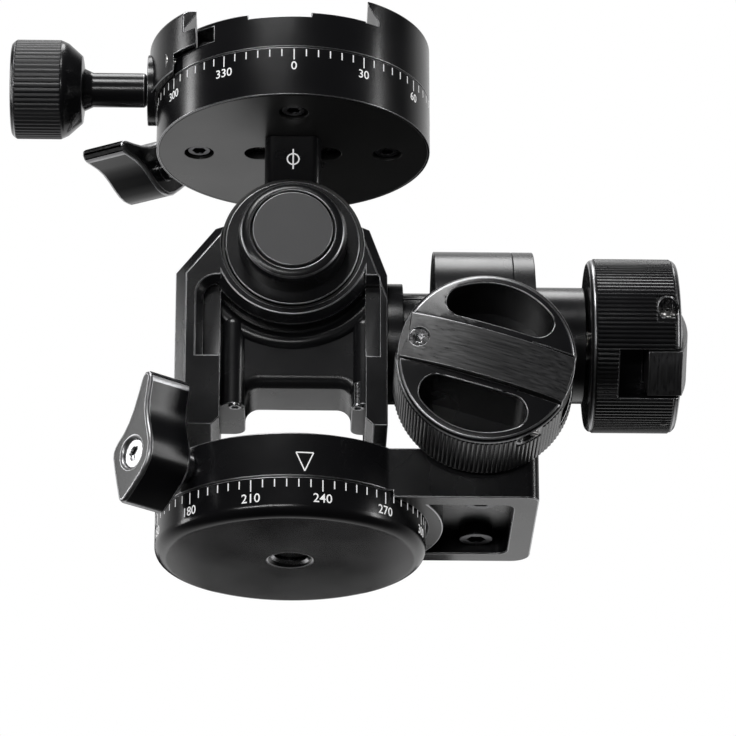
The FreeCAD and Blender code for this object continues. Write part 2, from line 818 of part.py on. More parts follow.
def upright_housing():
    blank = upright_blank(s.upright_left, UPRIGHT_JOINT)
    gear_tip = s.tilt_teeth * s.gear_module / 2 + s.gear_module + s.gear_room
    cavity_start = GEAR_PLANE - s.gear_width / 2 - s.gear_room
    tools = [
        cylinder(gear_tip, cavity_start, UPRIGHT_JOINT, "x", (0, TILT_Z)),
        cylinder(TILT_BUSH_RADIUS, s.upright_left, UPRIGHT_JOINT, "x", (0, TILT_Z)),
        cylinder(s.bush_outer, -s.upright_half, s.upright_half, "y", (GEAR_PLANE, WORM_Z)),
    ]
    for side in (-1, 1):
        spot = (GEAR_PLANE, s.upright_screw_spread * side)
        tools.append(cylinder(s.upright_screw_radius, RING_TOP, RING_TOP + s.upright_screw_grip,
                              at=spot))
    for y, z in cover_screw_spots():
        reach = s.extension_reach - s.cover_head_depth - s.cover_screw_length
        tools.append(cylinder(s.cover_screw_radius, reach, UPRIGHT_JOINT, "x", (y, z)))
    node(cut(blank, *tools), "upright_housing")


def upright_cover():
    blank = upright_blank(UPRIGHT_JOINT, s.extension_reach)
    tools = [cylinder(TILT_BUSH_RADIUS, UPRIGHT_JOINT, s.extension_reach, "x", (0, TILT_Z))]
    screws = []
    face = s.extension_reach - s.cover_head_depth
    for y, z in cover_screw_spots():
        tools.append(cylinder(s.cover_screw_radius, UPRIGHT_JOINT, face, "x", (y, z)))
        tools.append(cylinder(s.cover_head_radius, face, s.extension_reach, "x", (y, z)))
        shank = cylinder(s.cover_screw_radius, face - s.cover_screw_length, face, "x", (y, z))
        head = cylinder(s.cover_head_radius - s.running_gap, face,
                        s.extension_reach - s.seam_gap, "x", (y, z))
        hexagon = hex_socket(s.cover_screw_radius, s.cover_head_depth / 2)
        place(hexagon, s.extension_reach - s.cover_head_depth / 2, y, z, rotation=ALONG["x"])
        screws.append(cut(fuse(shank, head), hexagon))
    node(cut(blank, *tools), "upright_cover")
    node(fuse(*screws), "cover_screws")


def upright_screws():
    """Two cap screws that hold the upright, with their heads in the block's pocket."""
    roof = RING_TOP - s.pocket_roof
    screws = []
    for side in (-1, 1):
        spot = (GEAR_PLANE, s.upright_screw_spread * side)
        head = cylinder(s.upright_head_radius, roof - s.upright_head_height, roof, at=spot)
        shank = cylinder(s.upright_screw_radius, roof, RING_TOP + s.upright_screw_grip, at=spot)
        hexagon = hex_socket(s.upright_screw_radius, s.upright_head_height / 2)
        place(hexagon, *spot, roof - s.upright_head_height)
        screws.append(cut(fuse(head, shank), hexagon))
    node(fuse(*screws), "upright_screws")


def tilt_bushes():
    """Two bronze bushes that carry the hollow tilt shaft."""
    inner = s.shaft_outer + s.running_gap
    left = ring(inner, TILT_BUSH_RADIUS, s.upright_left,
                GEAR_PLANE - s.gear_width / 2 - s.gear_room, "x", (0, TILT_Z))
    right = ring(inner, TILT_BUSH_RADIUS, UPRIGHT_JOINT, s.extension_reach, "x", (0, TILT_Z))
    node(fuse(left, right), "tilt_shaft_bushes")


def tilt_worm_bushes():
    inner = s.journal_radius + s.running_gap
    bushes = []
    for side in (-1, 1):
        ends = sorted((s.upright_half.value * side,
                       (s.upright_half - s.worm_bush_length).value * side))
        low = s.upright_half * side if side < 0 else s.upright_half - s.worm_bush_length
        high = low + s.worm_bush_length
        bushes.append(ring(inner, s.bush_outer, low, high, "y", (GEAR_PLANE, WORM_Z)))
    node(fuse(*bushes), "tilt_worm_bushes")


def worm_solid(core_parts, axis, at, turn):
    """A worm: a thread about a stepped shaft, turned until its wheel is at its side."""
    thread = feature(worm_thread())
    place(thread, *at, rotation=ALONG[axis] * Rotation(Vector(0, 0, 1), turn))
    solid = fuse(fuse(*core_parts), thread)
    solid.Refine = False
    return solid


def tilt_worm():
    at = (GEAR_PLANE, WORM_Z)
    root = s.worm_radius - s.gear_module * 1.25
    journal_end = s.upright_half - s.axial_gap
    worm_half = s.upright_half - s.worm_bush_length - s.axial_gap
    seat = s.tilt_knob_rear + s.shaft_seat
    parts = [
        cylinder(s.journal_radius, -seat, journal_end, "y", at),
        cylinder(root, -worm_half, worm_half, "y", at),
    ]
    solid = worm_solid(parts, "y", (GEAR_PLANE, 0, WORM_Z), 90)
    node(solid, "tilt_worm")


def tilt_gear():
    shape = gear_wheel(int(s.tilt_teeth.value), s.shaft_outer.value, -1, 0,
                       int(s.tilt_teeth.value))
    shape.rotate(Vector(), Vector(0, 0, 1), -90)
    wheel = place(feature(shape), GEAR_PLANE, 0, TILT_Z)
    hub = ring(s.shaft_outer, s.gear_hub_radius, GEAR_PLANE + s.gear_width / 2,
               UPRIGHT_JOINT - s.axial_gap, "x", (0, TILT_Z))
    node(fuse(wheel, hub), "tilt_gear")


def tilt_shaft():
    """The hollow shaft that carries the tilt frame; the roll drive runs inside it."""
    start = s.frame_right
    flange_end = start + s.flange_height
    at = (0, TILT_Z)
    solid = fuse(
        cylinder(s.flange_radius, start, flange_end, "x", at),
        cylinder(s.shoulder_radius, flange_end, s.upright_left - s.axial_gap, "x", at),
        cylinder(s.shaft_outer, start, COLLAR_END, "x", at),
    )
    tools = [cylinder(s.shaft_inner, start, COLLAR_END, "x", at)]
    screws = []
    for y, z in polar(s.flange_screw_circle, 4, 45):
        spot = (y, TILT_Z + z)
        shank = cylinder(s.small_screw_radius, start - s.small_screw_length, flange_end, "x", spot)
        tools.append(cylinder(s.small_screw_radius, start, flange_end, "x", spot))
        screws.append(shank)
    node(cut(solid, *tools), "tilt_shaft")
    node(fuse(*screws), "flange_screws")
    collar = cylinder(s.collar_radius, s.extension_reach + s.axial_gap, COLLAR_END, "x", at)
    node(cut(collar, cylinder(s.shaft_outer, start, COLLAR_END, "x", at)), "tilt_collar")
    inner = s.drive_radius + s.running_gap
    low = COLLAR_END - s.worm_bush_length
    node(ring(inner, s.shaft_inner, low, COLLAR_END, "x", at), "drive_shaft_bush")


# ---------------------------------------------------------------- tilt frame


def frame_silhouette(low, high):
    """The frame's front view: a block with cut shoulders."""
    bottom = TILT_Z - s.frame_bottom_drop
    top = ROLL_Z + s.frame_top_rise
    points = [
        (-s.frame_left, bottom), (s.frame_right, bottom), (s.frame_right, top - s.shoulder_drop),
        (s.shoulder_left, top), (-s.shoulder_left, top), (-s.frame_left, top - s.shoulder_drop),
    ]
    return plate(points, low, high, "XZ_Plane")


def is_front_arris(edge):
    """Whether an edge of the frame's front face is its left side or one of its shoulders."""
    ends = [vertex.Point for vertex in edge.Vertexes]
    if any(abs(end.y + s.frame_half.value) > 1e-3 for end in ends):
        return False
    left = all(abs(end.x + s.frame_left.value) < 1e-3 for end in ends)
    slanted = abs(ends[0].x - ends[1].x) > 1e-3 and abs(ends[0].z - ends[1].z) > 1e-3
    return left or slanted


def between_columns():
    """The room below the frame's inner feet, wider at the columns' bevelled ends."""
    bottom = TILT_Z - s.frame_bottom_drop
    foot = TILT_Z - s.foot_drop
    bevel = s.foot_bevel
    left = -s.inner_left
    right = s.inner_right
    points = [
        (left - bevel, bottom), (right + bevel, bottom), (right, bottom + bevel), (right, foot),
        (left, foot), (left, bottom + bevel),
    ]
    return plate(points, -s.frame_half, s.frame_half, "XZ_Plane")


def rear_opening(low, high):
    """The opening behind the crossbar, as wide as the room between the columns."""
    return box((-s.inner_left, s.inner_right), (low, high),
               (TILT_Z - s.frame_bottom_drop, TILT_Z - s.rear_roof_drop))


def front_ribs():
    """Two half-round ribs on the web's front face, and the curved one that joins their tops."""
    top = TILT_Z + s.rib_top_rise
    ribs = []
    for x in (-s.rib_left, s.rib_right):
        ball = doc.addObject("Part::Sphere", "Ball")
        bind(ball, "Radius", s.rib_radius)
        place(ball, x, -s.rib_front, top - s.rib_radius)
        ribs.append(ball)
        ribs.append(cylinder(s.rib_radius, TILT_Z - s.foot_drop, top - s.rib_radius,
                             at=(x, -s.rib_front)))
    tube = doc.addObject("Part::Torus", "CrossRib")
    bind(tube, "Radius1", s.plate_arc + s.cross_rib_drop)
    bind(tube, "Radius2", s.cross_rib_radius)
    place(tube, 0, -s.rib_front, ROLL_Z, rotation=ALONG["y"])
    room = box((-s.inner_left, s.inner_right), (-s.frame_half, 0), (TILT_Z - s.foot_drop, ROLL_Z))
    return ribs + [common(tube, room)]


def foot_screws():
    """Two small screws in the undersides of the inner feet."""
    foot = TILT_Z - s.foot_drop
    screws = []
    holes = []
    for x in (-s.foot_screw_left, s.foot_screw_right):
        spot = (x, -s.foot_screw_front)
        head = cylinder(s.foot_screw_radius, foot - s.foot_screw_height, foot, at=spot)
        hexagon = hex_socket(s.foot_screw_radius / 2, s.foot_screw_height / 2)
        place(hexagon, *spot, foot - s.foot_screw_height)
        shank_radius = s.foot_screw_radius / 2
        shank = cylinder(shank_radius, foot, foot + s.foot_screw_length, at=spot)
        holes.append(cylinder(shank_radius, foot, foot + s.foot_screw_length, at=spot))
        screws.append(cut(fuse(head, shank), hexagon))
    node(fuse(*screws), "foot_screws")
    return holes


def rounded_arch(low, high):
    """The opening between the frame's feet, with rounded upper corners."""
    bottom = TILT_Z - s.frame_bottom_drop
    roof = TILT_Z - s.arch_roof_drop
    corner = s.arch_corner
    left = -s.arch_left
    right = s.arch_right
    return fuse(
        box((left, right), (low, high), (bottom, roof - corner)),
        box((left + corner, right - corner), (low, high), (bottom, roof)),
        cylinder(corner, low, high, "y", (left + corner, roof - corner)),
        cylinder(corner, low, high, "y", (right - corner, roof - corner)),
    )


def pocket_slab(near, far, grow=0):
    """A slab with the front pocket's outline, grown at its left and top."""
    corner = s.pocket_corner_radius + grow
    middle = s.pocket_corner_radius - s.front_pocket_left
    high = ROLL_Z - s.pocket_top_drop - s.pocket_corner_radius
    low = TILT_Z - s.pocket_floor_drop
    return fuse(
        box((middle - corner, s.pocket_right), (near, far), (low, high)),
        box((middle, s.pocket_right), (near, far), (low, high + corner)),
        cylinder(corner, near, far, "y", (middle, high)),
    )


def is_pocket_arris(edge):
    """Whether an edge of the grown slab's rear face lies at its left, its corner or its top."""
    middle = edge.valueAt((edge.FirstParameter + edge.LastParameter) / 2)
    bevel = s.pocket_bevel.value
    if any(abs(point.y + s.frame_half.value - bevel) > 1e-3
           for point in [middle] + [vertex.Point for vertex in edge.Vertexes]):
        return False
    left = -s.front_pocket_left.value - bevel
    top = (ROLL_Z - s.pocket_top_drop).value + bevel
    if isinstance(edge.Curve, Part.Circle):
        return middle.x < left + s.pocket_corner_radius.value + bevel
    return abs(middle.x - left) < 1e-3 or abs(middle.z - top) < 1e-3


def front_pocket():
    """The two-step pocket under the hub in the frame's front face, with slanted sides."""
    front = -s.frame_half
    deep = -s.bar_half
    bevel = s.pocket_bevel
    low = TILT_Z - s.pocket_floor_drop
    shallow = pocket_slab(front, front + s.pocket_step)
    flare = bevelled(pocket_slab(front - bevel, front + bevel, bevel), bevel, is_pocket_arris)
    inner = box((-s.inner_left, s.inner_right), (front, deep),
                (TILT_Z - s.frame_bottom_drop, ROLL_Z - s.inner_top_drop))
    under_hub = box((-s.inner_left, s.inner_right), (front, deep), (low, ROLL_Z))
    under_hub = common(under_hub, cylinder(s.under_hub_radius, front, deep, "y", (0, ROLL_Z)))
    depth = s.frame_half - s.bar_half
    slant = s.plate_arc - bevel
    plug = [(0, -bevel), (slant, -bevel), (slant, 0), (s.plate_arc, bevel), (s.plate_arc, depth),
            (0, depth)]
    return cut(fuse(shallow, flare, inner, under_hub), turned(plug, "y", (0, front, ROLL_Z)))


def is_web_arris(edge, face):
    """Whether an edge lies in the web's front face and follows the arch's outline."""
    if any(abs(vertex.Point.y - face) > 1e-3 for vertex in edge.Vertexes):
        return False
    middle = edge.valueAt((edge.FirstParameter + edge.LastParameter) / 2)
    roof = (TILT_Z - s.arch_roof_drop).value
    inside = -s.arch_left.value - 1e-3 < middle.x < s.arch_right.value + 1e-3
    return inside and middle.z < roof + 1e-3 and abs(middle.y - face) < 1e-3


def tilt_frame():
    half = s.frame_half
    top = ROLL_Z + s.frame_top_rise
    roll = (0, ROLL_Z)
    bush = s.hub_radius + s.running_gap + s.roll_bush_wall
    blank = bevelled(frame_silhouette(-half, s.fork_half), s.frame_bevel, is_front_arris)
    web = cut(blank, front_pocket(), rounded_arch(-half, half), between_columns(),
              rear_opening(s.bar_half, half))
    faces = (-s.bar_half.value, s.bar_half.value)
    web = rounded(web, s.web_round,
                  lambda edge: any(is_web_arris(edge, face) for face in faces))
    web = fuse(web, *front_ribs())
    tools = [
        cylinder(bush, -half, -s.fork_half, "y", roll),
        cylinder(s.cavity_radius, -s.fork_half, s.fork_half, "y", roll),
        box((-s.cavity_radius, s.cavity_radius), (-s.fork_half, s.fork_half), (ROLL_Z, top)),
        cylinder(s.bush_outer, -s.pocket_left, s.frame_right, "x", (0, TILT_Z)),
    ]
    for y, z in polar(s.flange_screw_circle, 4, 45):
        tools.append(cylinder(s.small_screw_radius, s.frame_right - s.small_screw_length,
                              s.frame_right, "x", (y, TILT_Z + z)))
    for x, z in rear_screw_spots():
        tools.append(cylinder(s.small_screw_radius, s.fork_half - s.small_screw_length,
                              s.fork_half, "y", (x, z)))
    tools.extend(foot_screws())
    node(cut(web, *tools), "tilt_frame")


def rear_screw_spots():
    high = ROLL_Z - s.plate_screw_rise
    low = TILT_Z - s.plate_screw_drop
    right = s.frame_right - s.plate_screw_inset
    left = s.plate_screw_inset * 2 - s.frame_left
    return [(left, high), (right, high), (left, low), (right, low)]


def rear_plate():
    """The frame's rear plate, with the second bearing of the roll hub."""
    half = s.frame_half
    blank = frame_silhouette(s.fork_half, half)
    bush = s.hub_radius + s.running_gap + s.roll_bush_wall
    tools = [
        rear_opening(s.fork_half, half),
        cylinder(bush, s.fork_half, half, "y", (0, ROLL_Z)),
    ]
    screws = []
    for x, z in rear_screw_spots():
        tools.append(cylinder(s.small_screw_radius, s.fork_half, half, "y", (x, z)))
        tools.append(cylinder(s.small_head_radius, half - s.small_head_height, half, "y", (x, z)))
        shank = cylinder(s.small_screw_radius, s.fork_half - s.small_screw_length,
                         half - s.small_head_height, "y", (x, z))
        head = cylinder(s.small_head_radius - s.running_gap, half - s.small_head_height, half,
                        "y", (x, z))
        hexagon = hex_socket(s.small_screw_radius * 0.8, s.small_head_height / 2)
        place(hexagon, x, half - s.small_head_height / 2, z, rotation=ALONG["y"])
        screws.append(cut(fuse(shank, head), hexagon))
    node(cut(blank, *tools), "frame_rear_plate")
    node(fuse(*screws), "rear_plate_screws")


def roll_bushes():
    inner = s.hub_radius + s.running_gap
    outer = inner + s.roll_bush_wall
    front = ring(inner, outer, -s.frame_half + s.roll_bush_recess, -s.fork_half, "y", (0, ROLL_Z))
    rear = ring(inner, outer, s.fork_half, s.frame_half - s.roll_bush_recess, "y", (0, ROLL_Z))
    node(fuse(front, rear), "roll_bushes")


def roll_worm():
    """The roll drive: worm and long shaft in one piece."""
    at = (0, TILT_Z)
    root = s.worm_radius - s.gear_module * 1.25
    end = s.pocket_left - s.axial_gap
    worm_half = s.frame_right - s.worm_bush_length - s.axial_gap
    parts = [
        cylinder(s.journal_radius, -end, s.frame_right, "x", at),
        cylinder(root, -worm_half, worm_half, "x", at),
        cylinder(s.drive_radius, s.frame_right + s.axial_gap * 5,
                 ROLL_KNOB_START + s.shaft_seat, "x", at),
        cylinder(s.journal_radius, s.frame_right, s.frame_right + s.worm_bush_length, "x", at),
    ]
    node(worm_solid(parts, "x", (0, 0, TILT_Z), 0), "roll_drive_shaft")
    inner = s.journal_radius + s.running_gap
    left = ring(inner, s.bush_outer, -s.pocket_left, -s.pocket_left + s.worm_bush_length, "x", at)
    right = ring(inner, s.bush_outer, s.frame_right - s.worm_bush_length, s.frame_right, "x", at)
    node(fuse(left, right), "roll_worm_bushes")


# ---------------------------------------------------------------- roll head


def head_neck():
    """The neck, one piece with the core of the roll hub."""
    depth = s.fork_half - s.fork_gap
    core = cylinder(s.hub_core_radius, -depth, depth, "y", (0, ROLL_Z))
    stem = box((-s.neck_half_width, s.neck_half_width), (-depth, depth), (ROLL_Z, DIAL_BOTTOM))
    wide = s.neck_half_width.value
    deep = depth.value
    stem = rounded(stem, s.neck_corner,
                   lambda edge: any(is_upright(edge, x, y) for x in (-wide, wide)
                                    for y in (-deep, deep)))
    tenon = box((-s.neck_half_width, s.neck_half_width), (-s.tenon_depth / 2, s.tenon_depth / 2),
                (DIAL_BOTTOM, DIAL_BOTTOM + s.plate_height / 2))
    width = s.gear_width / 2 + s.seam_gap
    groove = cut(cylinder(s.cavity_radius, -width, width, "y", (0, ROLL_Z)),
                 cylinder(s.hub_groove_radius, -width, width, "y", (0, ROLL_Z)),
                 box((-s.cavity_radius, s.cavity_radius), (-width, width),
                     (ROLL_Z, ROLL_Z + s.cavity_radius)))
    tools = [groove]
    screws = []
    face = DIAL_BOTTOM + s.plate_height
    for side in (-1, 1):
        spot = (0, s.neck_screw_spread * side)
        tools.append(cylinder(s.small_screw_radius, DIAL_BOTTOM - s.small_screw_length,
                              DIAL_BOTTOM, at=spot))
        shank = cylinder(s.small_screw_radius, DIAL_BOTTOM - s.small_screw_length, face, at=spot)
        head = cone(s.small_screw_radius, s.small_head_radius, face - s.small_head_height, face,
                    at=spot)
        screws.append(fuse(shank, head))
    node(cut(fuse(core, stem, tenon), *tools), "head_neck")
    node(fuse(*screws), "neck_screws")


def hub_discs():
    """The two discs that run in the roll bushes, and the boss and cap on the front one."""
    inner = s.fork_half - s.fork_gap
    ring_end = inner + s.hub_ring_height
    boss_end = ring_end + s.hub_boss_height
    edge = s.hub_boss_edge
    points = [
        (0, inner), (s.hub_radius, inner), (s.hub_radius, ring_end),
        (s.hub_boss_radius, ring_end), (s.hub_boss_radius, boss_end - edge),
        (s.hub_boss_radius - edge * 0.293, boss_end - edge * 0.293),
        (s.hub_boss_radius - edge, boss_end), (s.hub_cap_radius + s.hub_cap_gap, boss_end),
        (s.hub_cap_radius + s.hub_cap_gap, boss_end - s.hub_cap_depth),
        (0, boss_end - s.hub_cap_depth),
    ]
    towards_front = Rotation(Vector(1, 0, 0), 90)
    front = turned(points, at=(0, 0, ROLL_Z))
    front.Placement = Placement(front.Placement.Base, towards_front)
    node(front, "hub_front_disc")
    cap_low = boss_end - s.hub_cap_depth
    cap_high = boss_end + s.hub_cap_height
    node(cylinder(s.hub_cap_radius, -cap_high, -cap_low, "y", (0, ROLL_Z)), "hub_front_cap")
    rear = cylinder(s.hub_radius, inner, ring_end, "y", (0, ROLL_Z))
    rear_boss = cylinder(s.hub_boss_radius, ring_end, ring_end + s.hub_cap_depth, "y", (0, ROLL_Z))
    node(fuse(rear, rear_boss), "hub_rear_disc")


def roll_gear():
    teeth = int(s.roll_teeth.value)
    quarter = teeth // 4
    shape = gear_wheel(teeth, s.hub_groove_radius.value, 1, -quarter, quarter + 1)
    radius = s.cavity_radius.value
    width = s.gear_width.value
    upper = Part.makeBox(4 * radius, 2 * width, 2 * radius, Vector(-2 * radius, -width, 0))
    sector = place(feature(shape.cut(upper)), 0, 0, ROLL_Z)
    node(sector, "roll_gear_sector")


def platform_dial():
    """The upper dial: it traps the clamp's drum, and a plate closes it from below."""
    plate_top = DIAL_BOTTOM + s.plate_height
    lip_bottom = DIAL_TOP - s.upper_lip_height
    stud = lock_direction(s.dial_lever_azimuth)
    tools = [
        cylinder(s.plate_radius, DIAL_BOTTOM, plate_top),
        cylinder(s.drum_radius + s.running_gap, plate_top, lip_bottom),
        cylinder(s.boss_radius + s.running_gap, lip_bottom, DIAL_TOP),
        radial_cylinder(s.lock_stud_radius + s.running_gap, s.boss_radius, s.dial_radius + 2,
                        stud, DIAL_LOCK_Z),
    ]
    for x, y in polar(s.dial_screw_circle, 4):
        tools.append(cylinder(s.dial_screw_radius, plate_top, plate_top + s.dial_screw_length,
                              at=(x, y)))
    node(cut(cylinder(s.dial_radius, DIAL_BOTTOM, DIAL_TOP), *tools), "platform_dial")


def platform_plate():
    plate_top = DIAL_BOTTOM + s.plate_height
    slot_half = s.tenon_depth / 2
    straight = s.tenon_half - slot_half
    tools = [
        box((-straight, straight), (-slot_half, slot_half), (DIAL_BOTTOM, plate_top)),
        cylinder(slot_half, DIAL_BOTTOM, plate_top, at=(-straight, 0)),
        cylinder(slot_half, DIAL_BOTTOM, plate_top, at=(straight, 0)),
    ]
    for side in (-1, 1):
        spot = (0, s.neck_screw_spread * side)
        tools.append(cylinder(s.small_screw_radius, DIAL_BOTTOM, plate_top, at=spot))
        tools.append(cone(s.small_screw_radius, s.small_head_radius,
                          plate_top - s.small_head_height, plate_top, at=spot))
    screws = []
    seat = DIAL_BOTTOM + s.dial_head_height
    for x, y in polar(s.dial_screw_circle, 4):
        tools.append(cylinder(s.dial_screw_radius, DIAL_BOTTOM, plate_top, at=(x, y)))
        tools.append(cylinder(s.dial_counterbore, DIAL_BOTTOM, seat, at=(x, y)))
        head = cylinder(s.dial_head_radius, DIAL_BOTTOM + s.dial_head_sink, seat, at=(x, y))
        shank = cylinder(s.dial_screw_radius, seat, seat + s.dial_screw_length, at=(x, y))
        hexagon = hex_socket(s.dial_screw_radius, s.dial_head_height - s.dial_head_sink)
        place(hexagon, x, y, DIAL_BOTTOM + s.dial_head_sink)
        screws.append(cut(fuse(head, shank), hexagon))
    node(cut(cylinder(s.plate_radius, DIAL_BOTTOM, plate_top), *tools), "platform_plate")
    node(fuse(*screws), "platform_screws")


# ---------------------------------------------------------------- clamp


def lip_undercut(lip, away, wide):
    """The dovetail's undercut behind a lip; away is 1 where the lip stands to the right."""
    inner = lip - s.lip_relief * away
    root = lip + s.jaw_undercut * away
    low = CLAMP_TOP - s.lip_relief
    land = s.lip_land
    points = [(inner, low), (root, low), (root, CLAMP_TOP + land), (lip, JAW_TOP - land),
              (inner, JAW_TOP - land)]
    return plate(points, -wide, wide, "XZ_Plane")


def clamp_body():
    """The clamp's body with its fixed jaw, turning on a boss in the platform dial."""
    left = JAW_LIP - s.jaw_travel_gap
    ledge_top = CLAMP_BOTTOM + s.ledge_rise
    notch_top = CLAMP_TOP - s.rim_notch_roof
    disc = cylinder(s.dial_radius, CLAMP_BOTTOM, JAW_TOP)
    boss = cylinder(s.boss_radius, UPPER_DRUM_TOP, CLAMP_BOTTOM)
    wide = s.dial_radius + 1
    tools = [
        box((-wide, FIXED_LIP), (-wide, wide), (CLAMP_TOP, JAW_TOP)),
        lip_undercut(FIXED_LIP, 1, wide),
        box((-wide, -LEDGE_REACH), (-wide, wide), (CLAMP_BOTTOM, JAW_TOP)),
        box((-wide, -left), (-wide, wide), (ledge_top, JAW_TOP)),
        box((-left, -RIM_NOTCH_REACH), (-wide, -s.rim_notch_half), (ledge_top, notch_top)),
        box((-left, -RIM_NOTCH_REACH), (s.rim_notch_half, wide), (ledge_top, notch_top)),
        box((-s.channel_left, s.channel_right), (-wide, wide),
            (CLAMP_TOP - s.channel_depth, CLAMP_TOP)),
        cylinder(s.clamp_screw_radius + s.running_gap, -s.dial_radius, s.clamp_screw_tip,
                 "x", (0, CLAMP_SCREW_Z)),
    ]
    for side in (-1, 1):
        spot = (s.guide_pin_spread * side, CLAMP_SCREW_Z)
        pin_end = s.guide_pin_length - GUIDE_PIN_START
        tools.append(cylinder(s.guide_pin_radius + s.running_gap, -s.dial_radius,
                              pin_end + s.axial_gap, "x", spot))
    for x, y in polar(s.drum_screw_circle, 3, 90):
        tools.append(cylinder(s.small_screw_radius, UPPER_DRUM_TOP,
                              UPPER_DRUM_TOP + s.lip_height, at=(x, y)))
    node(cut(fuse(disc, boss), *tools), "clamp_body")


def clamp_jaw():
    """The movable jaw, standing open by jaw_open, with its two guide pins."""
    wide = s.dial_radius + 3
    shelf = CLAMP_BOTTOM + s.ledge_rise + s.jaw_travel_gap
    half = s.jaw_half_length
    disc = cylinder(s.dial_radius, CLAMP_BOTTOM, JAW_TOP, at=(-s.jaw_open, 0))
    radius = s.dial_radius.value
    top = JAW_TOP.value
    disc = rounded(disc, s.jaw_edge, lambda edge: is_circle(edge, radius, top))
    room = [
        box((-wide, -JAW_LIP), (-wide, wide), (shelf, CLAMP_TOP)),
        box((-wide, -LEDGE_REACH - s.jaw_travel_gap), (-wide, wide), (CLAMP_BOTTOM, CLAMP_TOP)),
        box((-wide, -JAW_LIP), (-half, half), (CLAMP_TOP, JAW_TOP)),
    ]
    jaw = common(disc, fuse(*room))
    lobe_start = -s.dial_radius - s.jaw_open - s.jaw_lobe_proud
    lobe = cylinder(s.jaw_lobe_radius, lobe_start, lobe_start + s.jaw_lobe_depth, "x",
                    (0, CLAMP_SCREW_Z))
    tools = [
        cylinder(s.clamp_screw_radius + s.running_gap, -wide, 0, "x", (0, CLAMP_SCREW_Z)),
        lip_undercut(-JAW_LIP, -1, wide),
    ]
    pins = []
    for side in (-1, 1):
        spot = (s.guide_pin_spread * side, CLAMP_SCREW_Z)
        start = -GUIDE_PIN_START
        tools.append(cylinder(s.guide_pin_radius, start, -JAW_LIP, "x", spot))
        pins.append(cylinder(s.guide_pin_radius, start, start + s.guide_pin_length, "x", spot))
    node(cut(fuse(jaw, lobe), *tools), "clamp_jaw")
    node(fuse(*pins), "clamp_guide_pins")


def clamp_knob():
    """The clamp knob along -X, with its screw."""
    seat = s.dial_radius + s.jaw_open + s.jaw_lobe_proud + s.seam_gap
    edge = s.clamp_knob_edge
    points = [
        (0, seat), (s.clamp_stem_radius - 0.6, seat), (s.clamp_stem_radius, seat + 0.6),
        (s.clamp_stem_radius, s.clamp_stem_start),
        (s.clamp_stem_radius + 0.9, s.clamp_stem_start + 1.9),
        (s.clamp_cone_radius, s.clamp_cone_end),
        (s.clamp_knob_radius - 0.6, s.clamp_knob_inner - 0.5),
        (s.clamp_knob_radius, s.clamp_knob_inner + edge),
        (s.clamp_knob_radius, s.clamp_knob_outer - edge),
        (s.clamp_knob_radius - edge, s.clamp_knob_outer), (0, s.clamp_knob_outer),
    ]
    knob = turned(points, at=(0, 0, CLAMP_SCREW_Z))
    knob.Placement = Placement(knob.Placement.Base, Rotation(Vector(0, 1, 0), -90))
    screw_end = s.clamp_screw_tip - 1
    seat_depth = seat + s.clamp_screw_grip
    bore = cylinder(s.clamp_screw_radius, -seat_depth, -seat, "x", (0, CLAMP_SCREW_Z))
    node(cut(knob, bore), "clamp_knob")
    screw = cylinder(s.clamp_screw_radius, -seat_depth, screw_end, "x", (0, CLAMP_SCREW_Z))
    node(screw, "clamp_screw")


# ---------------------------------------------------------------- drive knobs


def knob_sleeve():
    """A knurled drive knob along Z with room for its flip lever."""
    edge = s.knob_edge
    rim = s.knob_length
    points = [
        (0, 0), (s.knob_radius - edge, 0), (s.knob_radius, edge), (s.knob_radius, rim - edge),
        (s.knob_radius - edge, rim), (s.knob_radius * 0.7, rim + s.knob_dome * 0.5),
        (s.knob_radius * 0.4, rim + s.knob_dome * 0.85), (0, rim + s.knob_dome),
    ]
    blank = turned(points)
    high = rim + s.knob_dome + 1
    wide = s.knob_radius + 1
    slot = s.lever_half_width + s.lever_side_gap
    tools = [
        box((-wide, wide), (-slot, slot), (s.lever_floor, high)),
        box((s.notch_start, wide), (-s.notch_half_width, s.notch_half_width),
            (s.notch_floor, high)),
        cylinder(s.knob_bore, 0, s.lever_floor, at=(0, 0)),
        cylinder(s.lever_pin_radius, -s.knob_radius, s.knob_radius, "y",
                 (s.lever_pin_offset, s.lever_pin_height)),
        cylinder(s.lever_pin_head + s.lever_side_gap, -s.knob_radius, -s.pin_head_seat, "y",
                 (s.lever_pin_offset, s.lever_pin_height)),
    ]
    for side in (-1, 1):
        reach = s.recess_radius + 1
        ys = (s.recess_inner, reach) if side > 0 else (-reach, -s.recess_inner)
        bite = common(cylinder(s.recess_radius, s.recess_floor, high),
                      box((-reach, reach), ys, (s.recess_floor, high)))
        inner = s.recess_inner.value * side
        bite = rounded(bite, s.recess_corner,
                       lambda edge, spot=inner: is_along_z(edge)
                       and abs(edge.Vertexes[0].Point.y - spot) < 1e-3)
        tools.append(bite)
    return cut(blank, *tools)


def knob_pin():
    """The hinge pin of the flip lever, with a slotted head at one end."""
    chord = math.sqrt(s.knob_radius.value ** 2 - s.lever_pin_offset.value ** 2)
    end = as_size(round(chord - 0.4, 2))
    at = (s.lever_pin_offset, s.lever_pin_height)
    seat = -s.pin_head_seat
    shank = cylinder(s.lever_pin_radius, seat, end, "y", at)
    head = cylinder(s.lever_pin_head, seat - s.pin_head_height, seat, "y", at)
    slot = box((s.lever_pin_offset - s.lever_pin_head, s.lever_pin_offset + s.lever_pin_head),
               (seat - s.pin_head_height, seat - s.pin_head_height / 3),
               (s.lever_pin_height - s.pin_slot_half, s.lever_pin_height + s.pin_slot_half))
    return cut(fuse(shank, head), slot)


def knob_centre_screw():
    """The screw that holds the knob on its shaft, under the lever."""
    head = cylinder(s.knob_bore, s.shaft_seat, s.lever_floor - s.seam_gap)
    return cut(head, hex_sunk(s.lever_floor - s.seam_gap))


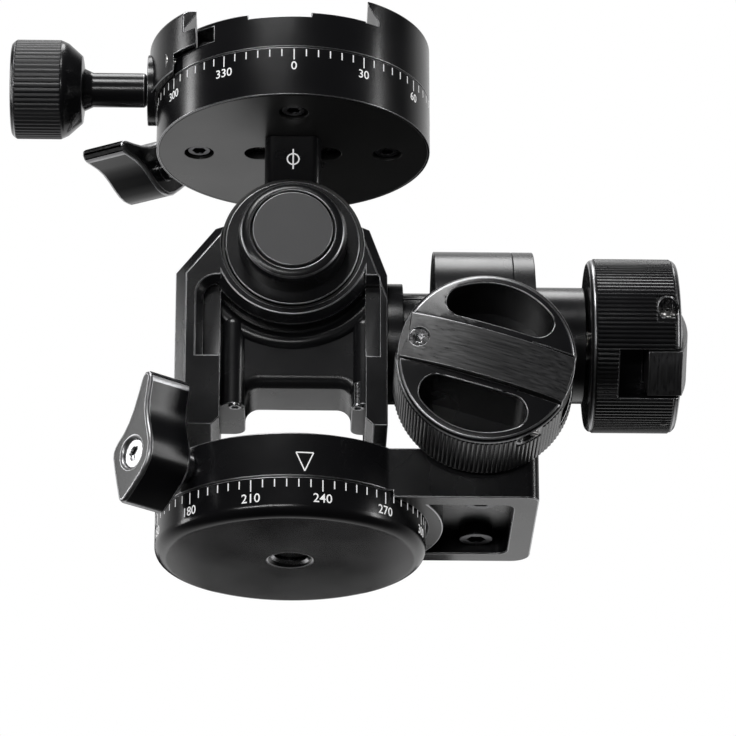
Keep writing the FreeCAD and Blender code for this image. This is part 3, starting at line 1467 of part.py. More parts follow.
def hex_sunk(top):
    hexagon = hex_socket(s.knob_bore / 2, s.knob_hex_depth)
    return place(hexagon, 0, 0, top - s.knob_hex_depth)


def knob_lever():
    """The flip lever: a band across the knob, crowned along its length."""
    low = s.lever_floor + s.lever_floor_gap
    reach = s.knob_radius.value - 0.3
    crown = (s.knob_length + s.lever_crown).value
    rim_height = s.knob_length.value + 0.2
    drop = crown - rim_height
    radius = (reach ** 2 + drop ** 2) / (2 * drop)
    barrel = doc.addObject("Part::Cylinder", "Barrel")
    barrel.Radius = radius
    bind(barrel, "Height", s.lever_half_width * 2)
    place(barrel, 0, -s.lever_half_width, round(crown - radius, 4), rotation=ALONG["y"])
    column = cylinder(s.knob_radius - 0.3, low, crown + 1)
    bar = box((-s.knob_radius, s.knob_radius), (-s.lever_half_width, s.lever_half_width),
              (low, crown + 1))
    band = common(common(column, bar), barrel)
    tools = [
        cylinder(s.lever_pin_radius + s.running_gap, -s.knob_radius, s.knob_radius, "y",
                 (s.lever_pin_offset, s.lever_pin_height)),
        cylinder(s.grub_radius, low, crown, at=(-s.grub_offset, 0)),
    ]
    return cut(band, *tools)


def knob_grub():
    """The set screw in the flip lever's free end."""
    top = s.knob_length + s.seam_gap * 4
    body = cylinder(s.grub_radius, top - s.grub_length, top, at=(-s.grub_offset, 0))
    hexagon = hex_socket(s.grub_radius / 2, s.grub_length / 2)
    place(hexagon, -s.grub_offset, 0, top - s.grub_length / 2)
    return cut(body, hexagon)


def drive_knob(prefix, spot, rotation):
    """One drive knob, moved as a set to its shaft."""
    makers = {
        "knob_sleeve": knob_sleeve, "knob_pin": knob_pin, "knob_screw": knob_centre_screw,
        "flip_lever": knob_lever, "flip_lever_grub": knob_grub,
    }
    for name, maker in makers.items():
        piece = place(maker(), *spot, rotation=rotation)
        node(piece, f"{prefix}_{name}")


# ---------------------------------------------------------------- the document


def build():
    base_dial()
    pan_ring()
    pan_small_parts()
    lock_lever("pan", s.base_radius, s.pan_collar_radius, s.pan_lever_azimuth, PAN_LOCK_Z,
               s.pan_lever_turn.value)
    upright_housing()
    upright_cover()
    upright_screws()
    tilt_bushes()
    tilt_worm_bushes()
    tilt_worm()
    tilt_gear()
    tilt_shaft()
    tilt_frame()
    rear_plate()
    roll_bushes()
    roll_worm()
    head_neck()
    hub_discs()
    roll_gear()
    platform_dial()
    platform_plate()
    drum(UPPER_DRUM_BOTTOM, "clamp_drum")
    drum_screws(UPPER_DRUM_BOTTOM, False, "clamp_drum_screws")
    lock_lever("dial", s.dial_radius, s.dial_collar_radius, s.dial_lever_azimuth, DIAL_LOCK_Z,
               s.dial_lever_turn.value)
    clamp_body()
    clamp_jaw()
    clamp_knob()
    front = Rotation(Vector(1, 0, 0), 90) * Rotation(Vector(0, 0, 1), s.tilt_knob_turn.value)
    drive_knob("tilt", (GEAR_PLANE, -s.tilt_knob_rear, WORM_Z), front)
    side = ALONG["x"] * Rotation(Vector(0, 0, 1), s.roll_knob_turn.value)
    drive_knob("roll", (ROLL_KNOB_START, 0, TILT_Z), side)


def check_and_export():
    """Stop at a failed object or a bad shape, then write one file per sub-part."""
    doc.recompute()
    for thing in doc.Objects:
        if "Invalid" in thing.State or "Error" in thing.State:
            raise SystemExit(f"{thing.Name} failed: {thing.State}")
    os.makedirs(NODE_FOLDER, exist_ok=True)
    for piece in subparts:
        shape = piece.Shape
        if shape.isNull() or not shape.isValid() or not shape.Solids:
            raise SystemExit(f"{piece.Label} has no valid solid")
    for piece in subparts:
        piece.Shape.exportStep(os.path.join(NODE_FOLDER, f"{piece.Label}.step"))
        print(piece.Label, len(piece.Shape.Solids), round(piece.Shape.Volume, 1))


build()
check_and_export()
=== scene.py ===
"""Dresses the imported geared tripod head: finish, engraving, knurling, light and camera.

Pieces are laid out in millimetres in the part's own frame, and MM turns them into metres. The
camera, the lights and the shaders' distances are in metres.
"""

import json
import math

import bmesh
import bpy
from mathutils import Matrix, Vector


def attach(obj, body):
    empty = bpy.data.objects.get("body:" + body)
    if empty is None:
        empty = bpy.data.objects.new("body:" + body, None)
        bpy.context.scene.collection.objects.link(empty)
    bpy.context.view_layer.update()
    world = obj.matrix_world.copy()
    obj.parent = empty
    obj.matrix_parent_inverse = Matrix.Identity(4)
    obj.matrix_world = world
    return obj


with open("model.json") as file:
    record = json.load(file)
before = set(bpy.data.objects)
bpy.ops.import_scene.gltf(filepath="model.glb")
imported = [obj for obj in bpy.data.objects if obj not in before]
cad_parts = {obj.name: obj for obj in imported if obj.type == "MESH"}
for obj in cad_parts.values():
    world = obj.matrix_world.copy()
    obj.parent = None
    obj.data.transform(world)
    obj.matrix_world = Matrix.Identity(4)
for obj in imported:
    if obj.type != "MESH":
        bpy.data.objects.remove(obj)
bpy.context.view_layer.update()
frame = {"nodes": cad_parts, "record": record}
nodes = frame["nodes"]
scene = bpy.context.scene
MM = 0.001

# The axes and faces of the model that pieces are placed by, in millimetres.
TILT_Z = 49.4
WORM_Z = 30.5
GEAR_X = 39.8
BASE_RADIUS = 28.6
DIAL_RADIUS = 30.0
KNOB_RADIUS = 18.5
DIAL_SEAM = 105.6
BASE_SEAM = 8.3
CLAMP_SCREW_Z = 109.4


# ---------------------------------------------------------------- camera


# The camera that was fitted to the photograph: its angles in degrees, its lens and sensor in
# millimetres, and how far it stands back, to the right of and below its centre in metres.
CAMERA_AZIMUTH = -1.28
CAMERA_ELEVATION = -21.92
CAMERA_LENS = 195.652
CAMERA_SENSOR = 36
CAMERA_CENTRE = (0, 0, 0.06)
CAMERA_BACK = 0.8649
CAMERA_RIGHT = 0.01643
CAMERA_DOWN = 0.01511
CAMERA_CLIP = (0.01, 50)


def make_camera():
    azimuth = math.radians(CAMERA_AZIMUTH)
    elevation = math.radians(CAMERA_ELEVATION)
    back = Vector((math.sin(azimuth) * math.cos(elevation),
                   -math.cos(azimuth) * math.cos(elevation), math.sin(elevation)))
    right = Vector((math.cos(azimuth), math.sin(azimuth), 0))
    up = back.cross(right)
    data = bpy.data.cameras.new("camera")
    data.sensor_width = CAMERA_SENSOR
    data.lens = CAMERA_LENS
    data.clip_start, data.clip_end = CAMERA_CLIP
    camera = bpy.data.objects.new("camera", data)
    scene.collection.objects.link(camera)
    spot = Vector(CAMERA_CENTRE) + back * CAMERA_BACK + right * CAMERA_RIGHT - up * CAMERA_DOWN
    turn = Matrix((right, up, back)).transposed()
    camera.matrix_world = Matrix.Translation(spot) @ turn.to_4x4()
    scene.camera = camera


# ---------------------------------------------------------------- materials


def new_material(name):
    material = bpy.data.materials.new(name)
    material.use_nodes = True
    tree = material.node_tree
    tree.nodes.clear()
    output = tree.nodes.new("ShaderNodeOutputMaterial")
    shader = tree.nodes.new("ShaderNodeBsdfPrincipled")
    tree.links.new(shader.outputs["BSDF"], output.inputs["Surface"])
    return material, tree, shader


def noise(tree, scale, detail, stretch=None, source=None):
    """Noise in a given space or the object's own; stretch scales its axes."""
    texture = tree.nodes.new("ShaderNodeTexNoise")
    texture.inputs["Scale"].default_value = scale
    texture.inputs["Detail"].default_value = detail
    if source is None:
        source = tree.nodes.new("ShaderNodeTexCoord").outputs["Object"]
    if stretch:
        mapping = tree.nodes.new("ShaderNodeMapping")
        mapping.inputs["Scale"].default_value = stretch
        tree.links.new(source, mapping.inputs["Vector"])
        source = mapping.outputs["Vector"]
    tree.links.new(source, texture.inputs["Vector"])
    return texture.outputs["Fac"]


# The values between which nearly all of a noise lies.
NOISE_LOW = 0.3
NOISE_HIGH = 0.7
# How deep each finish's relief is, in metres.
BLASTED_DEPTH = 0.00003
BRUSHED_DEPTH = 0.00004
TOOLED_DEPTH = 0.00003
MOULDED_DEPTH = 0.00002


def spread(tree, value, low, high):
    """Maps a noise's usual values to low..high."""
    ranger = tree.nodes.new("ShaderNodeMapRange")
    ranger.inputs["From Min"].default_value = NOISE_LOW
    ranger.inputs["From Max"].default_value = NOISE_HIGH
    ranger.inputs["To Min"].default_value = low
    ranger.inputs["To Max"].default_value = high
    tree.links.new(value, ranger.inputs["Value"])
    return ranger.outputs["Result"]


def tint(tree, value, dark, light):
    """Blends two colours by a value."""
    mix = tree.nodes.new("ShaderNodeMix")
    mix.data_type = "RGBA"
    mix.inputs["A"].default_value = (*dark, 1)
    mix.inputs["B"].default_value = (*light, 1)
    tree.links.new(value, mix.inputs["Factor"])
    return mix.outputs["Result"]


def bump(tree, shader, value, strength, distance):
    node = tree.nodes.new("ShaderNodeBump")
    node.inputs["Strength"].default_value = strength
    node.inputs["Distance"].default_value = distance
    tree.links.new(value, node.inputs["Height"])
    tree.links.new(node.outputs["Normal"], shader.inputs["Normal"])


def anodised(name, colour, roughness, grain=0.25, stretch=None, ior=1.62):
    """Black anodised aluminium: a fine blasted grain, slightly uneven in tone and gloss."""
    material, tree, shader = new_material(name)
    fine = noise(tree, 5200, 2, stretch)
    broad = noise(tree, 55, 3)
    light = tuple(channel * 1.45 + 0.002 for channel in colour)
    tree.links.new(tint(tree, broad, colour, light), shader.inputs["Base Color"])
    tree.links.new(spread(tree, broad, roughness - 0.04, roughness + 0.05),
                   shader.inputs["Roughness"])
    shader.inputs["Metallic"].default_value = 0.0
    shader.inputs["IOR"].default_value = ior
    bump(tree, shader, fine, grain, BLASTED_DEPTH)
    return material


def brushed(name, turn, stretch):
    """Black aluminium brushed along one axis of the turned space."""
    material, tree, shader = new_material(name)
    place = tree.nodes.new("ShaderNodeTexCoord")
    turned = tree.nodes.new("ShaderNodeMapping")
    turned.inputs["Rotation"].default_value = turn
    tree.links.new(place.outputs["Object"], turned.inputs["Vector"])
    value = noise(tree, 2600, 3, stretch, turned.outputs["Vector"])
    streaks = spread(tree, value, 0, 1)
    tree.links.new(tint(tree, streaks, (0.02, 0.02, 0.021), (0.06, 0.06, 0.062)),
                   shader.inputs["Base Color"])
    tree.links.new(spread(tree, value, 0.26, 0.4), shader.inputs["Roughness"])
    shader.inputs["IOR"].default_value = 1.8
    bump(tree, shader, value, 0.25, BRUSHED_DEPTH)
    return material


def bare_metal(name, colour, roughness, stretch=None, scale=1800):
    """Machined metal with fine tool marks."""
    material, tree, shader = new_material(name)
    marks = noise(tree, scale, 2, stretch)
    dark = tuple(channel * 0.86 for channel in colour)
    tree.links.new(tint(tree, marks, dark, colour), shader.inputs["Base Color"])
    tree.links.new(spread(tree, marks, roughness - 0.05, roughness + 0.08),
                   shader.inputs["Roughness"])
    shader.inputs["Metallic"].default_value = 1.0
    bump(tree, shader, marks, 0.15, TOOLED_DEPTH)
    return material


def polymer(name, colour, roughness):
    """A pale moulded plastic or filled paint, nearly even in tone."""
    material, tree, shader = new_material(name)
    fine = noise(tree, 2500, 3)
    dark = tuple(channel * 0.94 for channel in colour)
    tree.links.new(tint(tree, fine, dark, colour), shader.inputs["Base Color"])
    tree.links.new(spread(tree, fine, roughness - 0.05, roughness + 0.05),
                   shader.inputs["Roughness"])
    bump(tree, shader, fine, 0.1, MOULDED_DEPTH)
    return material


def glowing(material, strength):
    """Painted light: a faint white glow that lifts a pale paint, as fine white lines look on black
    in hard light.
    """
    shader = next(n for n in material.node_tree.nodes if n.type == "BSDF_PRINCIPLED")
    shader.inputs["Emission Color"].default_value = (1, 1, 1, 1)
    shader.inputs["Emission Strength"].default_value = strength
    return material


def make_materials():
    return {
        "black_anodised": anodised("black_anodised", (0.007, 0.007, 0.008), 0.25, 0.4),
        "dial_black": anodised("dial_black", (0.007, 0.007, 0.008), 0.21, 0.12,
                               (1, 1, 0.05)),
        "knob_black": anodised("knob_black", (0.008, 0.008, 0.009), 0.24, 0.15),
        "tilt_band": brushed("tilt_band", (0, math.radians(-16.5), 0), (0.03, 1, 1)),
        "roll_band": brushed("roll_band", (math.radians(-41.4), 0, 0), (1, 1, 0.03)),
        "lever_black": anodised("lever_black", (0.005, 0.005, 0.006), 0.2, 0.12, None, 1.42),
        "knurl_black": anodised("knurl_black", (0.018, 0.018, 0.020), 0.42, 0.3),
        "cap_black": anodised("cap_black", (0.065, 0.065, 0.067), 0.42, 0.8),
        "plate_black": anodised("plate_black", (0.012, 0.012, 0.012), 0.3, 0.2),
        "bush_black": anodised("bush_black", (0.008, 0.008, 0.008), 0.4),
        "clamp_black": anodised("clamp_black", (0.008, 0.008, 0.009), 0.22, 0.15),
        "steel": bare_metal("steel", (0.62, 0.61, 0.60), 0.28),
        "screw_steel": bare_metal("screw_steel", (0.60, 0.60, 0.61), 0.24),
        "dark_screw": bare_metal("dark_screw", (0.09, 0.09, 0.095), 0.3),
        "chrome": bare_metal("chrome", (0.80, 0.80, 0.81), 0.12, None, 900),
        "bronze": bare_metal("bronze", (0.55, 0.36, 0.16), 0.34),
        "brass": bare_metal("brass", (0.78, 0.58, 0.27), 0.3),
        "glide": polymer("glide", (0.80, 0.80, 0.77), 0.5),
        # The engraving is pale paint with a faint painted glow.
        "engraving": glowing(polymer("engraving", (0.9, 0.9, 0.9), 0.55), 0.45),
        # Pale bare metal for the broken edges: a painted highlight.
        "edge": bare_metal("edge", (0.5, 0.5, 0.51), 0.34),
    }


# Nodes whose broken edges take a pale bare-metal colour: a painted highlight, so that they glint.
PAINTED_HIGHLIGHT_EDGES = {
    "tilt_knob_sleeve", "roll_knob_sleeve", "tilt_flip_lever", "roll_flip_lever",
    "hub_front_disc", "hub_front_cap", "tilt_frame", "clamp_body", "clamp_jaw", "pan_ring",
    "base_dial", "platform_dial", "pan_lock_lever", "dial_lock_lever", "clamp_knob",
}
# Nodes whose look is finer than their slot's.
LOOKS = {
    "tilt_flip_lever": "tilt_band", "roll_flip_lever": "roll_band",
    "platform_plate": "plate_black",
}
# How far a node's edges are broken, in millimetres, and how far the others' are.
EDGES = {
    "pan_lock_lever": 0.8, "dial_lock_lever": 0.8, "tilt_knob_sleeve": 0.25,
    "roll_knob_sleeve": 0.25, "hub_front_disc": 0.3, "platform_plate": 0.15, "tilt_shaft": 0.15,
    "tilt_flip_lever": 0.15, "roll_flip_lever": 0.15, "pan_ring": 0.3, "frame_rear_plate": 0.15,
}
COMMON_EDGE = 0.2
# Nodes with teeth or threads, which are too fine for broken edges.
TOOTHED = {"tilt_worm", "roll_drive_shaft", "tilt_gear", "roll_gear_sector"}
# Nodes whose flat faces stay in triangles, because joining them left dark wedges in the shading.
UNJOINED = {"frame_rear_plate"}
# Edges that turn by more than this are sharp, and faces that turn by less than the other are one.
SHARP_ANGLE = math.radians(32)
FLAT_ANGLE = math.radians(0.2)


def finish_nodes():
    """Gives every node its finish, smooth round faces and small broken edges."""
    slots = {entry["node"]: entry["material_slot"] for entry in frame["record"]["subparts"]}
    for name, node in nodes.items():
        node.data.materials.clear()
        node.data.materials.append(MATERIALS[LOOKS.get(name, slots[name])])
        width = EDGES.get(name, COMMON_EDGE) * MM
        shade(node, name not in TOOTHED, width, name not in UNJOINED)
        if name in PAINTED_HIGHLIGHT_EDGES:
            # The broken edges take the pale metal, a painted highlight.
            node.data.materials.append(MATERIALS["edge"])
            node.modifiers["bevel"].material = 1


def spot_key(point):
    """A point to the nearest tenth of a micrometre, to match an edge by its ends."""
    return tuple(round(value, 7) for value in point)


def mark_edges(mesh):
    """Marks the sharp edges: those that turn outward are broken, and the others stay crisp."""
    solid = bmesh.new()
    solid.from_mesh(mesh)
    bmesh.ops.remove_doubles(solid, verts=solid.verts, dist=1e-7)
    outward, inward = set(), set()
    for edge in solid.edges:
        if edge.is_manifold and edge.calc_face_angle() > SHARP_ANGLE:
            ends = frozenset(spot_key(vertex.co) for vertex in edge.verts)
            (outward if edge.is_convex else inward).add(ends)
    solid.free()
    weights = mesh.attributes.new("bevel_weight_edge", "FLOAT", "EDGE")
    for edge in mesh.edges:
        ends = frozenset(spot_key(mesh.vertices[index].co) for index in edge.vertices)
        weights.data[edge.index].value = float(ends in outward)
        edge.use_edge_sharp = ends in inward


def shade(thing, broken_edges, width, dissolved):
    """Smooths round faces and breaks the sharp edges, which catch the light as in the photograph.

    Where dissolved is true, the triangles of a flat face are joined before the bevel.
    """
    mesh = thing.data
    if "custom_normal" in mesh.attributes:
        mesh.attributes.remove(mesh.attributes["custom_normal"])
    mesh.shade_smooth()
    weld = thing.modifiers.new("weld", "WELD")
    weld.merge_threshold = 1e-6
    if not broken_edges:
        split = thing.modifiers.new("split", "EDGE_SPLIT")
        split.split_angle = SHARP_ANGLE
        return
    mark_edges(mesh)
    if dissolved:
        flat = thing.modifiers.new("flat", "DECIMATE")
        flat.decimate_type = "DISSOLVE"
        flat.angle_limit = FLAT_ANGLE
    bevel = thing.modifiers.new("bevel", "BEVEL")
    bevel.width = width
    bevel.segments = 2
    bevel.limit_method = "WEIGHT"
    bevel.use_clamp_overlap = not dissolved
    bevel.harden_normals = False
    bevel.miter_outer = "MITER_ARC"
    weigh = thing.modifiers.new("weigh", "WEIGHTED_NORMAL")
    weigh.keep_sharp = True
    weigh.mode = "FACE_AREA_WITH_ANGLE"


# ---------------------------------------------------------------- mesh helpers


def add_piece(name, mesh, body, look):
    """Links a mesh as a piece of the object that rides on a body."""
    piece = bpy.data.objects.new(name, mesh)
    scene.collection.objects.link(piece)
    mesh.materials.clear()
    mesh.materials.append(MATERIALS[look])
    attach(piece, body)
    return piece


def mesh_of(name, points, faces):
    mesh = bpy.data.meshes.new(name)
    mesh.from_pydata([Vector(point) * MM for point in points], [], faces)
    solid = bmesh.new()
    solid.from_mesh(mesh)
    bmesh.ops.recalc_face_normals(solid, faces=solid.faces)
    solid.to_mesh(mesh)
    solid.free()
    return mesh


def ribbon(points, faces, sections, closed):
    """Joins a row of equal-length sections into a closed skin, capping its ends."""
    size = len(sections[0])
    base = len(points)
    for section in sections:
        points.extend(section)
    count = len(sections)
    for row in range(count if closed else count - 1):
        one = base + row * size
        two = base + ((row + 1) % count) * size
        for column in range(size):
            after = (column + 1) % size
            faces.append((one + column, one + after, two + after, two + column))
    if not closed:
        faces.append(tuple(base + column for column in range(size)))
        last = base + (count - 1) * size
        faces.append(tuple(last + column for column in reversed(range(size))))


# How far one ridge stands out, from 0 in the groove to 1 on its crest, step by step round the rim.
RIDGE = (0.0, 0.75, 1.0, 0.75)
# How far the skin of the knurling goes into the metal below it.
KNURL_ROOT = 0.3


def knurl_band(points, faces, radius, height, low, high, count, cuts, taper):
    """Straight knurling round Z; each cut lowers its top over an arc: (centre, half arc, top)."""
    total = count * len(RIDGE)
    tops = []
    for step in range(total):
        angle = 360.0 * step / total
        top = high
        for centre, half, lowered in cuts:
            if abs((angle - centre + 180) % 360 - 180) < half:
                top = min(top, lowered)
        tops.append(top)
    start = next((s for s in range(total) if tops[s - 1] != tops[s]), 0)
    whole = len(set(tops)) == 1
    runs = []
    for offset in range(total):
        step = (start + offset) % total
        if offset == 0 or tops[step] != tops[step - 1]:
            runs.append([])
        runs[-1].append(step)
    for run in runs:
        top = tops[run[0]]
        steps = run if whole else [*run, run[-1] + 1]
        sections = []
        for step in steps:
            angle = 2 * math.pi * step / total
            out = radius + height * RIDGE[step % len(RIDGE)]
            shape = ((radius - KNURL_ROOT, low), (radius, low), (out, low + taper),
                     (out, top - taper), (radius, top), (radius - KNURL_ROOT, top))
            sections.append([(r * math.cos(angle), r * math.sin(angle), z) for r, z in shape])
        ribbon(points, faces, sections, whole)


def seated(mesh, spot, turn):
    """Moves a mesh made about its own axis to where the part stands."""
    mesh.transform(Matrix.Translation(Vector(spot) * MM) @ turn.to_4x4())
    return mesh


# ---------------------------------------------------------------- knurling


def axis_turn(axis, degrees, spin=0):
    """A turn of the Z axis about X or Y, after a spin about Z itself."""
    return (Matrix.Rotation(math.radians(degrees), 3, axis)
            @ Matrix.Rotation(math.radians(spin), 3, "Z"))


# Where each knob starts on its axis, and how it is turned, with its band as in the photograph.
TILT_BAND_TURN = -16.5
ROLL_BAND_TURN = -48.6
TILT_KNOB = ((GEAR_X, -20.6, WORM_Z), axis_turn("X", 90, TILT_BAND_TURN))
ROLL_KNOB = ((63.3, 0, TILT_Z), axis_turn("Y", 90, ROLL_BAND_TURN))
# What is cut from a knob's knurling: the lever's notch, its band and the hinge pin's seat.
KNOB_CUTS = ((0, 17.3, 5.9), (180, 16.2, 11.7), (314.4, 9.4, 14.0))
CLAMP_KNOB_SPOT = (-50, 0, CLAMP_SCREW_Z)
CLAMP_KNOB_RADIUS = 10.75


def knob_knurling():
    """Knurling of the two large knobs, which their levers and hinge pins interrupt."""
    for prefix, (spot, turn) in (("tilt", TILT_KNOB), ("roll", ROLL_KNOB)):
        points, faces = [], []
        knurl_band(points, faces, KNOB_RADIUS, height=0.26, low=1.2, high=17.9, count=120,
                   cuts=KNOB_CUTS, taper=0.25)
        mesh = seated(mesh_of(f"{prefix}_knob_knurling", points, faces), spot, turn)
        add_piece(f"{prefix}_knob_knurling", mesh, f"{prefix}_drive", "knob_black")


def clamp_knurling():
    """Knurling of the clamp's knob, without a break."""
    points, faces = [], []
    knurl_band(points, faces, CLAMP_KNOB_RADIUS, height=0.18, low=0.9, high=11.1, count=60,
               cuts=(), taper=0.3)
    mesh = seated(mesh_of("clamp_knob_knurling", points, faces), CLAMP_KNOB_SPOT,
                  axis_turn("Y", -90))
    add_piece("clamp_knob_knurling", mesh, "clamp_turner", "knurl_black")


# ---------------------------------------------------------------- engraving


# How far a painted line goes into the metal and how far it stands out of it.
LINE_ROOT = 0.08
LINE_PROUD = 0.025
# The dials' marks and numbers: spacing in degrees, lengths below the seam, line width and height.
MARK_EVERY = 5
NUMBER_EVERY = 30
MARK_GAP = 0.5
LONG_MARK = 2.5
SHORT_MARK = 1.7
MARK_WIDTH = 0.24
NUMBER_DROP = 3.45
NUMBER_SIZE = 2.75
# The six faces of a bar between the four corners of its back and the four of its front.
BAR_FACES = ((0, 3, 2, 1), (4, 5, 6, 7), (0, 1, 5, 4), (1, 2, 6, 5), (2, 3, 7, 6), (3, 0, 4, 7))


def on_cylinder(radius, degrees, across, height, out):
    """A point on an upright cylinder; degrees run from -Y towards +X."""
    angle = math.radians(degrees) + across / radius
    reach = radius + out
    return (reach * math.sin(angle), -reach * math.cos(angle), height)


def stroke(points, faces, ends, radius, degrees, width):
    """A thin engraved line on a cylinder between two (across, height) ends."""
    (x1, z1), (x2, z2) = ends
    length = math.hypot(x2 - x1, z2 - z1)
    side = (-(z2 - z1) / length * width / 2, (x2 - x1) / length * width / 2)
    corners = ((x1 + side[0], z1 + side[1]), (x2 + side[0], z2 + side[1]),
               (x2 - side[0], z2 - side[1]), (x1 - side[0], z1 - side[1]))
    base = len(points)
    for out in (-LINE_ROOT, LINE_PROUD):
        points.extend(on_cylinder(radius, degrees, x, z, out) for x, z in corners)
    faces.extend(tuple(base + i for i in quad) for quad in BAR_FACES)


def number_mesh(text, size):
    """A number as a flat mesh in millimetres, centred across and hanging from zero height."""
    curve = bpy.data.curves.new("number", "FONT")
    curve.body = text
    curve.size = size
    curve.align_x = "CENTER"
    curve.align_y = "TOP"
    curve.extrude = 0.05
    curve.offset = 0.012
    curve.resolution_u = 3
    holder = bpy.data.objects.new("number", curve)
    scene.collection.objects.link(holder)
    graph = bpy.context.evaluated_depsgraph_get()
    mesh = bpy.data.meshes.new_from_object(holder.evaluated_get(graph))
    bpy.data.objects.remove(holder)
    bpy.data.curves.remove(curve)
    return mesh


def dial_scale(name, body, radius, seam, reading_in_front):
    """Degree marks with numbers, hanging below a seam."""
    points, faces = [], []
    for mark in range(0, 360, MARK_EVERY):
        length = LONG_MARK if mark % NUMBER_EVERY == 0 else SHORT_MARK
        ends = ((0, seam - MARK_GAP), (0, seam - MARK_GAP - length))
        stroke(points, faces, ends, radius, mark - reading_in_front, MARK_WIDTH)
    add_piece(f"{name}_marks", mesh_of(f"{name}_marks", points, faces), body, "engraving")
    points, faces = [], []
    for mark in range(0, 360, NUMBER_EVERY):
        digits = number_mesh(str(mark), NUMBER_SIZE)
        tops = max(vertex.co.y for vertex in digits.vertices)
        middle = (max(v.co.x for v in digits.vertices) + min(v.co.x for v in digits.vertices)) / 2
        base = len(points)
        for vertex in digits.vertices:
            x, y, z = vertex.co
            points.append(on_cylinder(radius, mark - reading_in_front, x - middle,
                                      seam - NUMBER_DROP + (y - tops), z - LINE_PROUD))
        faces.extend(tuple(base + i for i in face.vertices) for face in digits.polygons)
        bpy.data.meshes.remove(digits)
    add_piece(f"{name}_numbers", mesh_of(f"{name}_numbers", points, faces), body, "engraving")


# The pan ring's triangle: its corners as (across, height), its place in degrees and line width.
INDEX_CORNERS = ((-1.8, 13.6), (1.8, 13.6), (0, 9.6))
INDEX_DEGREES = 5.7
INDEX_WIDTH = 0.26
# The pieces that each side is bent round the ring in.
INDEX_PIECES = 6
# The neck's mark: the face it is cut in, the ring's centre, radii and steps, and the line's half
# width and ends. The ring stands out a little less than the line that crosses it.
NECK_FACE = -9.3
NECK_RING_Z = 88.8
NECK_RING = (1.12, 1.42)
NECK_RING_STEPS = 32
NECK_RING_PROUD = 0.02
NECK_LINE_HALF = 0.15
NECK_LINE_ENDS = (91.2, 86.4)
NECK_LINE_PROUD = 0.03


def pan_index():
    """The outline triangle on the pan ring."""
    points, faces = [], []
    for (x1, z1), (x2, z2) in zip(INDEX_CORNERS, INDEX_CORNERS[1:] + INDEX_CORNERS[:1]):
        spots = [(x1 + (x2 - x1) * i / INDEX_PIECES, z1 + (z2 - z1) * i / INDEX_PIECES)
                 for i in range(INDEX_PIECES + 1)]
        for ends in zip(spots, spots[1:]):
            stroke(points, faces, ends, BASE_RADIUS, INDEX_DEGREES, INDEX_WIDTH)
    add_piece("pan_index", mesh_of("pan_index", points, faces), "pan_head", "engraving")


def neck_mark():
    """The ring crossed by a line on the front of the neck."""
    points, faces = [], []
    back = NECK_FACE + LINE_ROOT
    inner, outer = NECK_RING
    front = NECK_FACE - NECK_RING_PROUD
    shape = ((inner, back), (outer, back), (outer, front), (inner, front))
    sections = []
    for step in range(NECK_RING_STEPS):
        angle = 2 * math.pi * step / NECK_RING_STEPS
        sections.append([(r * math.cos(angle), y, NECK_RING_Z + r * math.sin(angle))
                         for r, y in shape])
    ribbon(points, faces, sections, True)
    base = len(points)
    half = NECK_LINE_HALF
    top, bottom = NECK_LINE_ENDS
    for y in (back, NECK_FACE - NECK_LINE_PROUD):
        points.extend((x, y, z) for x, z in ((-half, top), (half, top), (half, bottom),
                                             (-half, bottom)))
    faces.extend([tuple(base + i for i in quad) for quad in
                  ((0, 1, 2, 3), (7, 6, 5, 4), (0, 4, 5, 1), (1, 5, 6, 2), (2, 6, 7, 3),
                   (3, 7, 4, 0))])
    add_piece("neck_mark", mesh_of("neck_mark", points, faces), "roll_head", "engraving")


# ---------------------------------------------------------------- thread


# The tripod thread, 3/8 inch with 16 turns to the inch: where it starts above the base's foot,
# and its section as (radius, height from the middle).
THREAD_PITCH = 25.4 / 16
THREAD_TURNS = 5
THREAD_STEPS = 48
THREAD_START = 0.75
THREAD_SECTION = ((4.02, -0.62), (3.5, -0.1), (3.5, 0.1), (4.02, 0.62))


def thread_helix():
    """The turns of the tripod thread inside the base."""
    points, faces = [], []
    sections = []
    for step in range(THREAD_TURNS * THREAD_STEPS + 1):
        angle = 2 * math.pi * step / THREAD_STEPS
        z = THREAD_START + THREAD_PITCH * step / THREAD_STEPS
        sections.append([(r * math.cos(angle), r * math.sin(angle), z + rise)
                         for r, rise in THREAD_SECTION])
    ribbon(points, faces, sections, False)
    mesh = mesh_of("tripod_thread", points, faces)
    # Painted highlight: the thread takes a pale steel colour so that its turns glint, though the
    # thread itself is black anodised.
    piece = add_piece("tripod_thread", mesh, "base", "screw_steel")
    shade(piece, False, 0, False)


# ---------------------------------------------------------------- stage


# Half the floor's side and how far it lies below the base, in metres.
FLOOR_HALF = 6.0
FLOOR_DROP = 0.0004


def make_floor():
    """A pale floor under the base, clear when it is looked at from below."""
    mesh = bpy.data.meshes.new("floor")
    mesh.from_pydata([(-FLOOR_HALF, -FLOOR_HALF, -FLOOR_DROP),
                      (FLOOR_HALF, -FLOOR_HALF, -FLOOR_DROP),
                      (FLOOR_HALF, FLOOR_HALF, -FLOOR_DROP),
                      (-FLOOR_HALF, FLOOR_HALF, -FLOOR_DROP)], [], [(0, 1, 2, 3)])
    floor = bpy.data.objects.new("floor", mesh)
    scene.collection.objects.link(floor)
    material, tree, shader = new_material("floor")
    shader.inputs["Base Color"].default_value = (0.86, 0.86, 0.86, 1)
    shader.inputs["Roughness"].default_value = 0.8
    clear = tree.nodes.new("ShaderNodeBsdfTransparent")
    side = tree.nodes.new("ShaderNodeNewGeometry")
    mix = tree.nodes.new("ShaderNodeMixShader")
    output = next(n for n in tree.nodes if n.type == "OUTPUT_MATERIAL")
    tree.links.new(side.outputs["Backfacing"], mix.inputs["Fac"])
    tree.links.new(shader.outputs["BSDF"], mix.inputs[1])
    tree.links.new(clear.outputs["BSDF"], mix.inputs[2])
    tree.links.new(mix.outputs["Shader"], output.inputs["Surface"])
    mesh.materials.append(material)
    floor.visible_glossy = False
    floor.visible_diffuse = False
    floor.visible_shadow = False


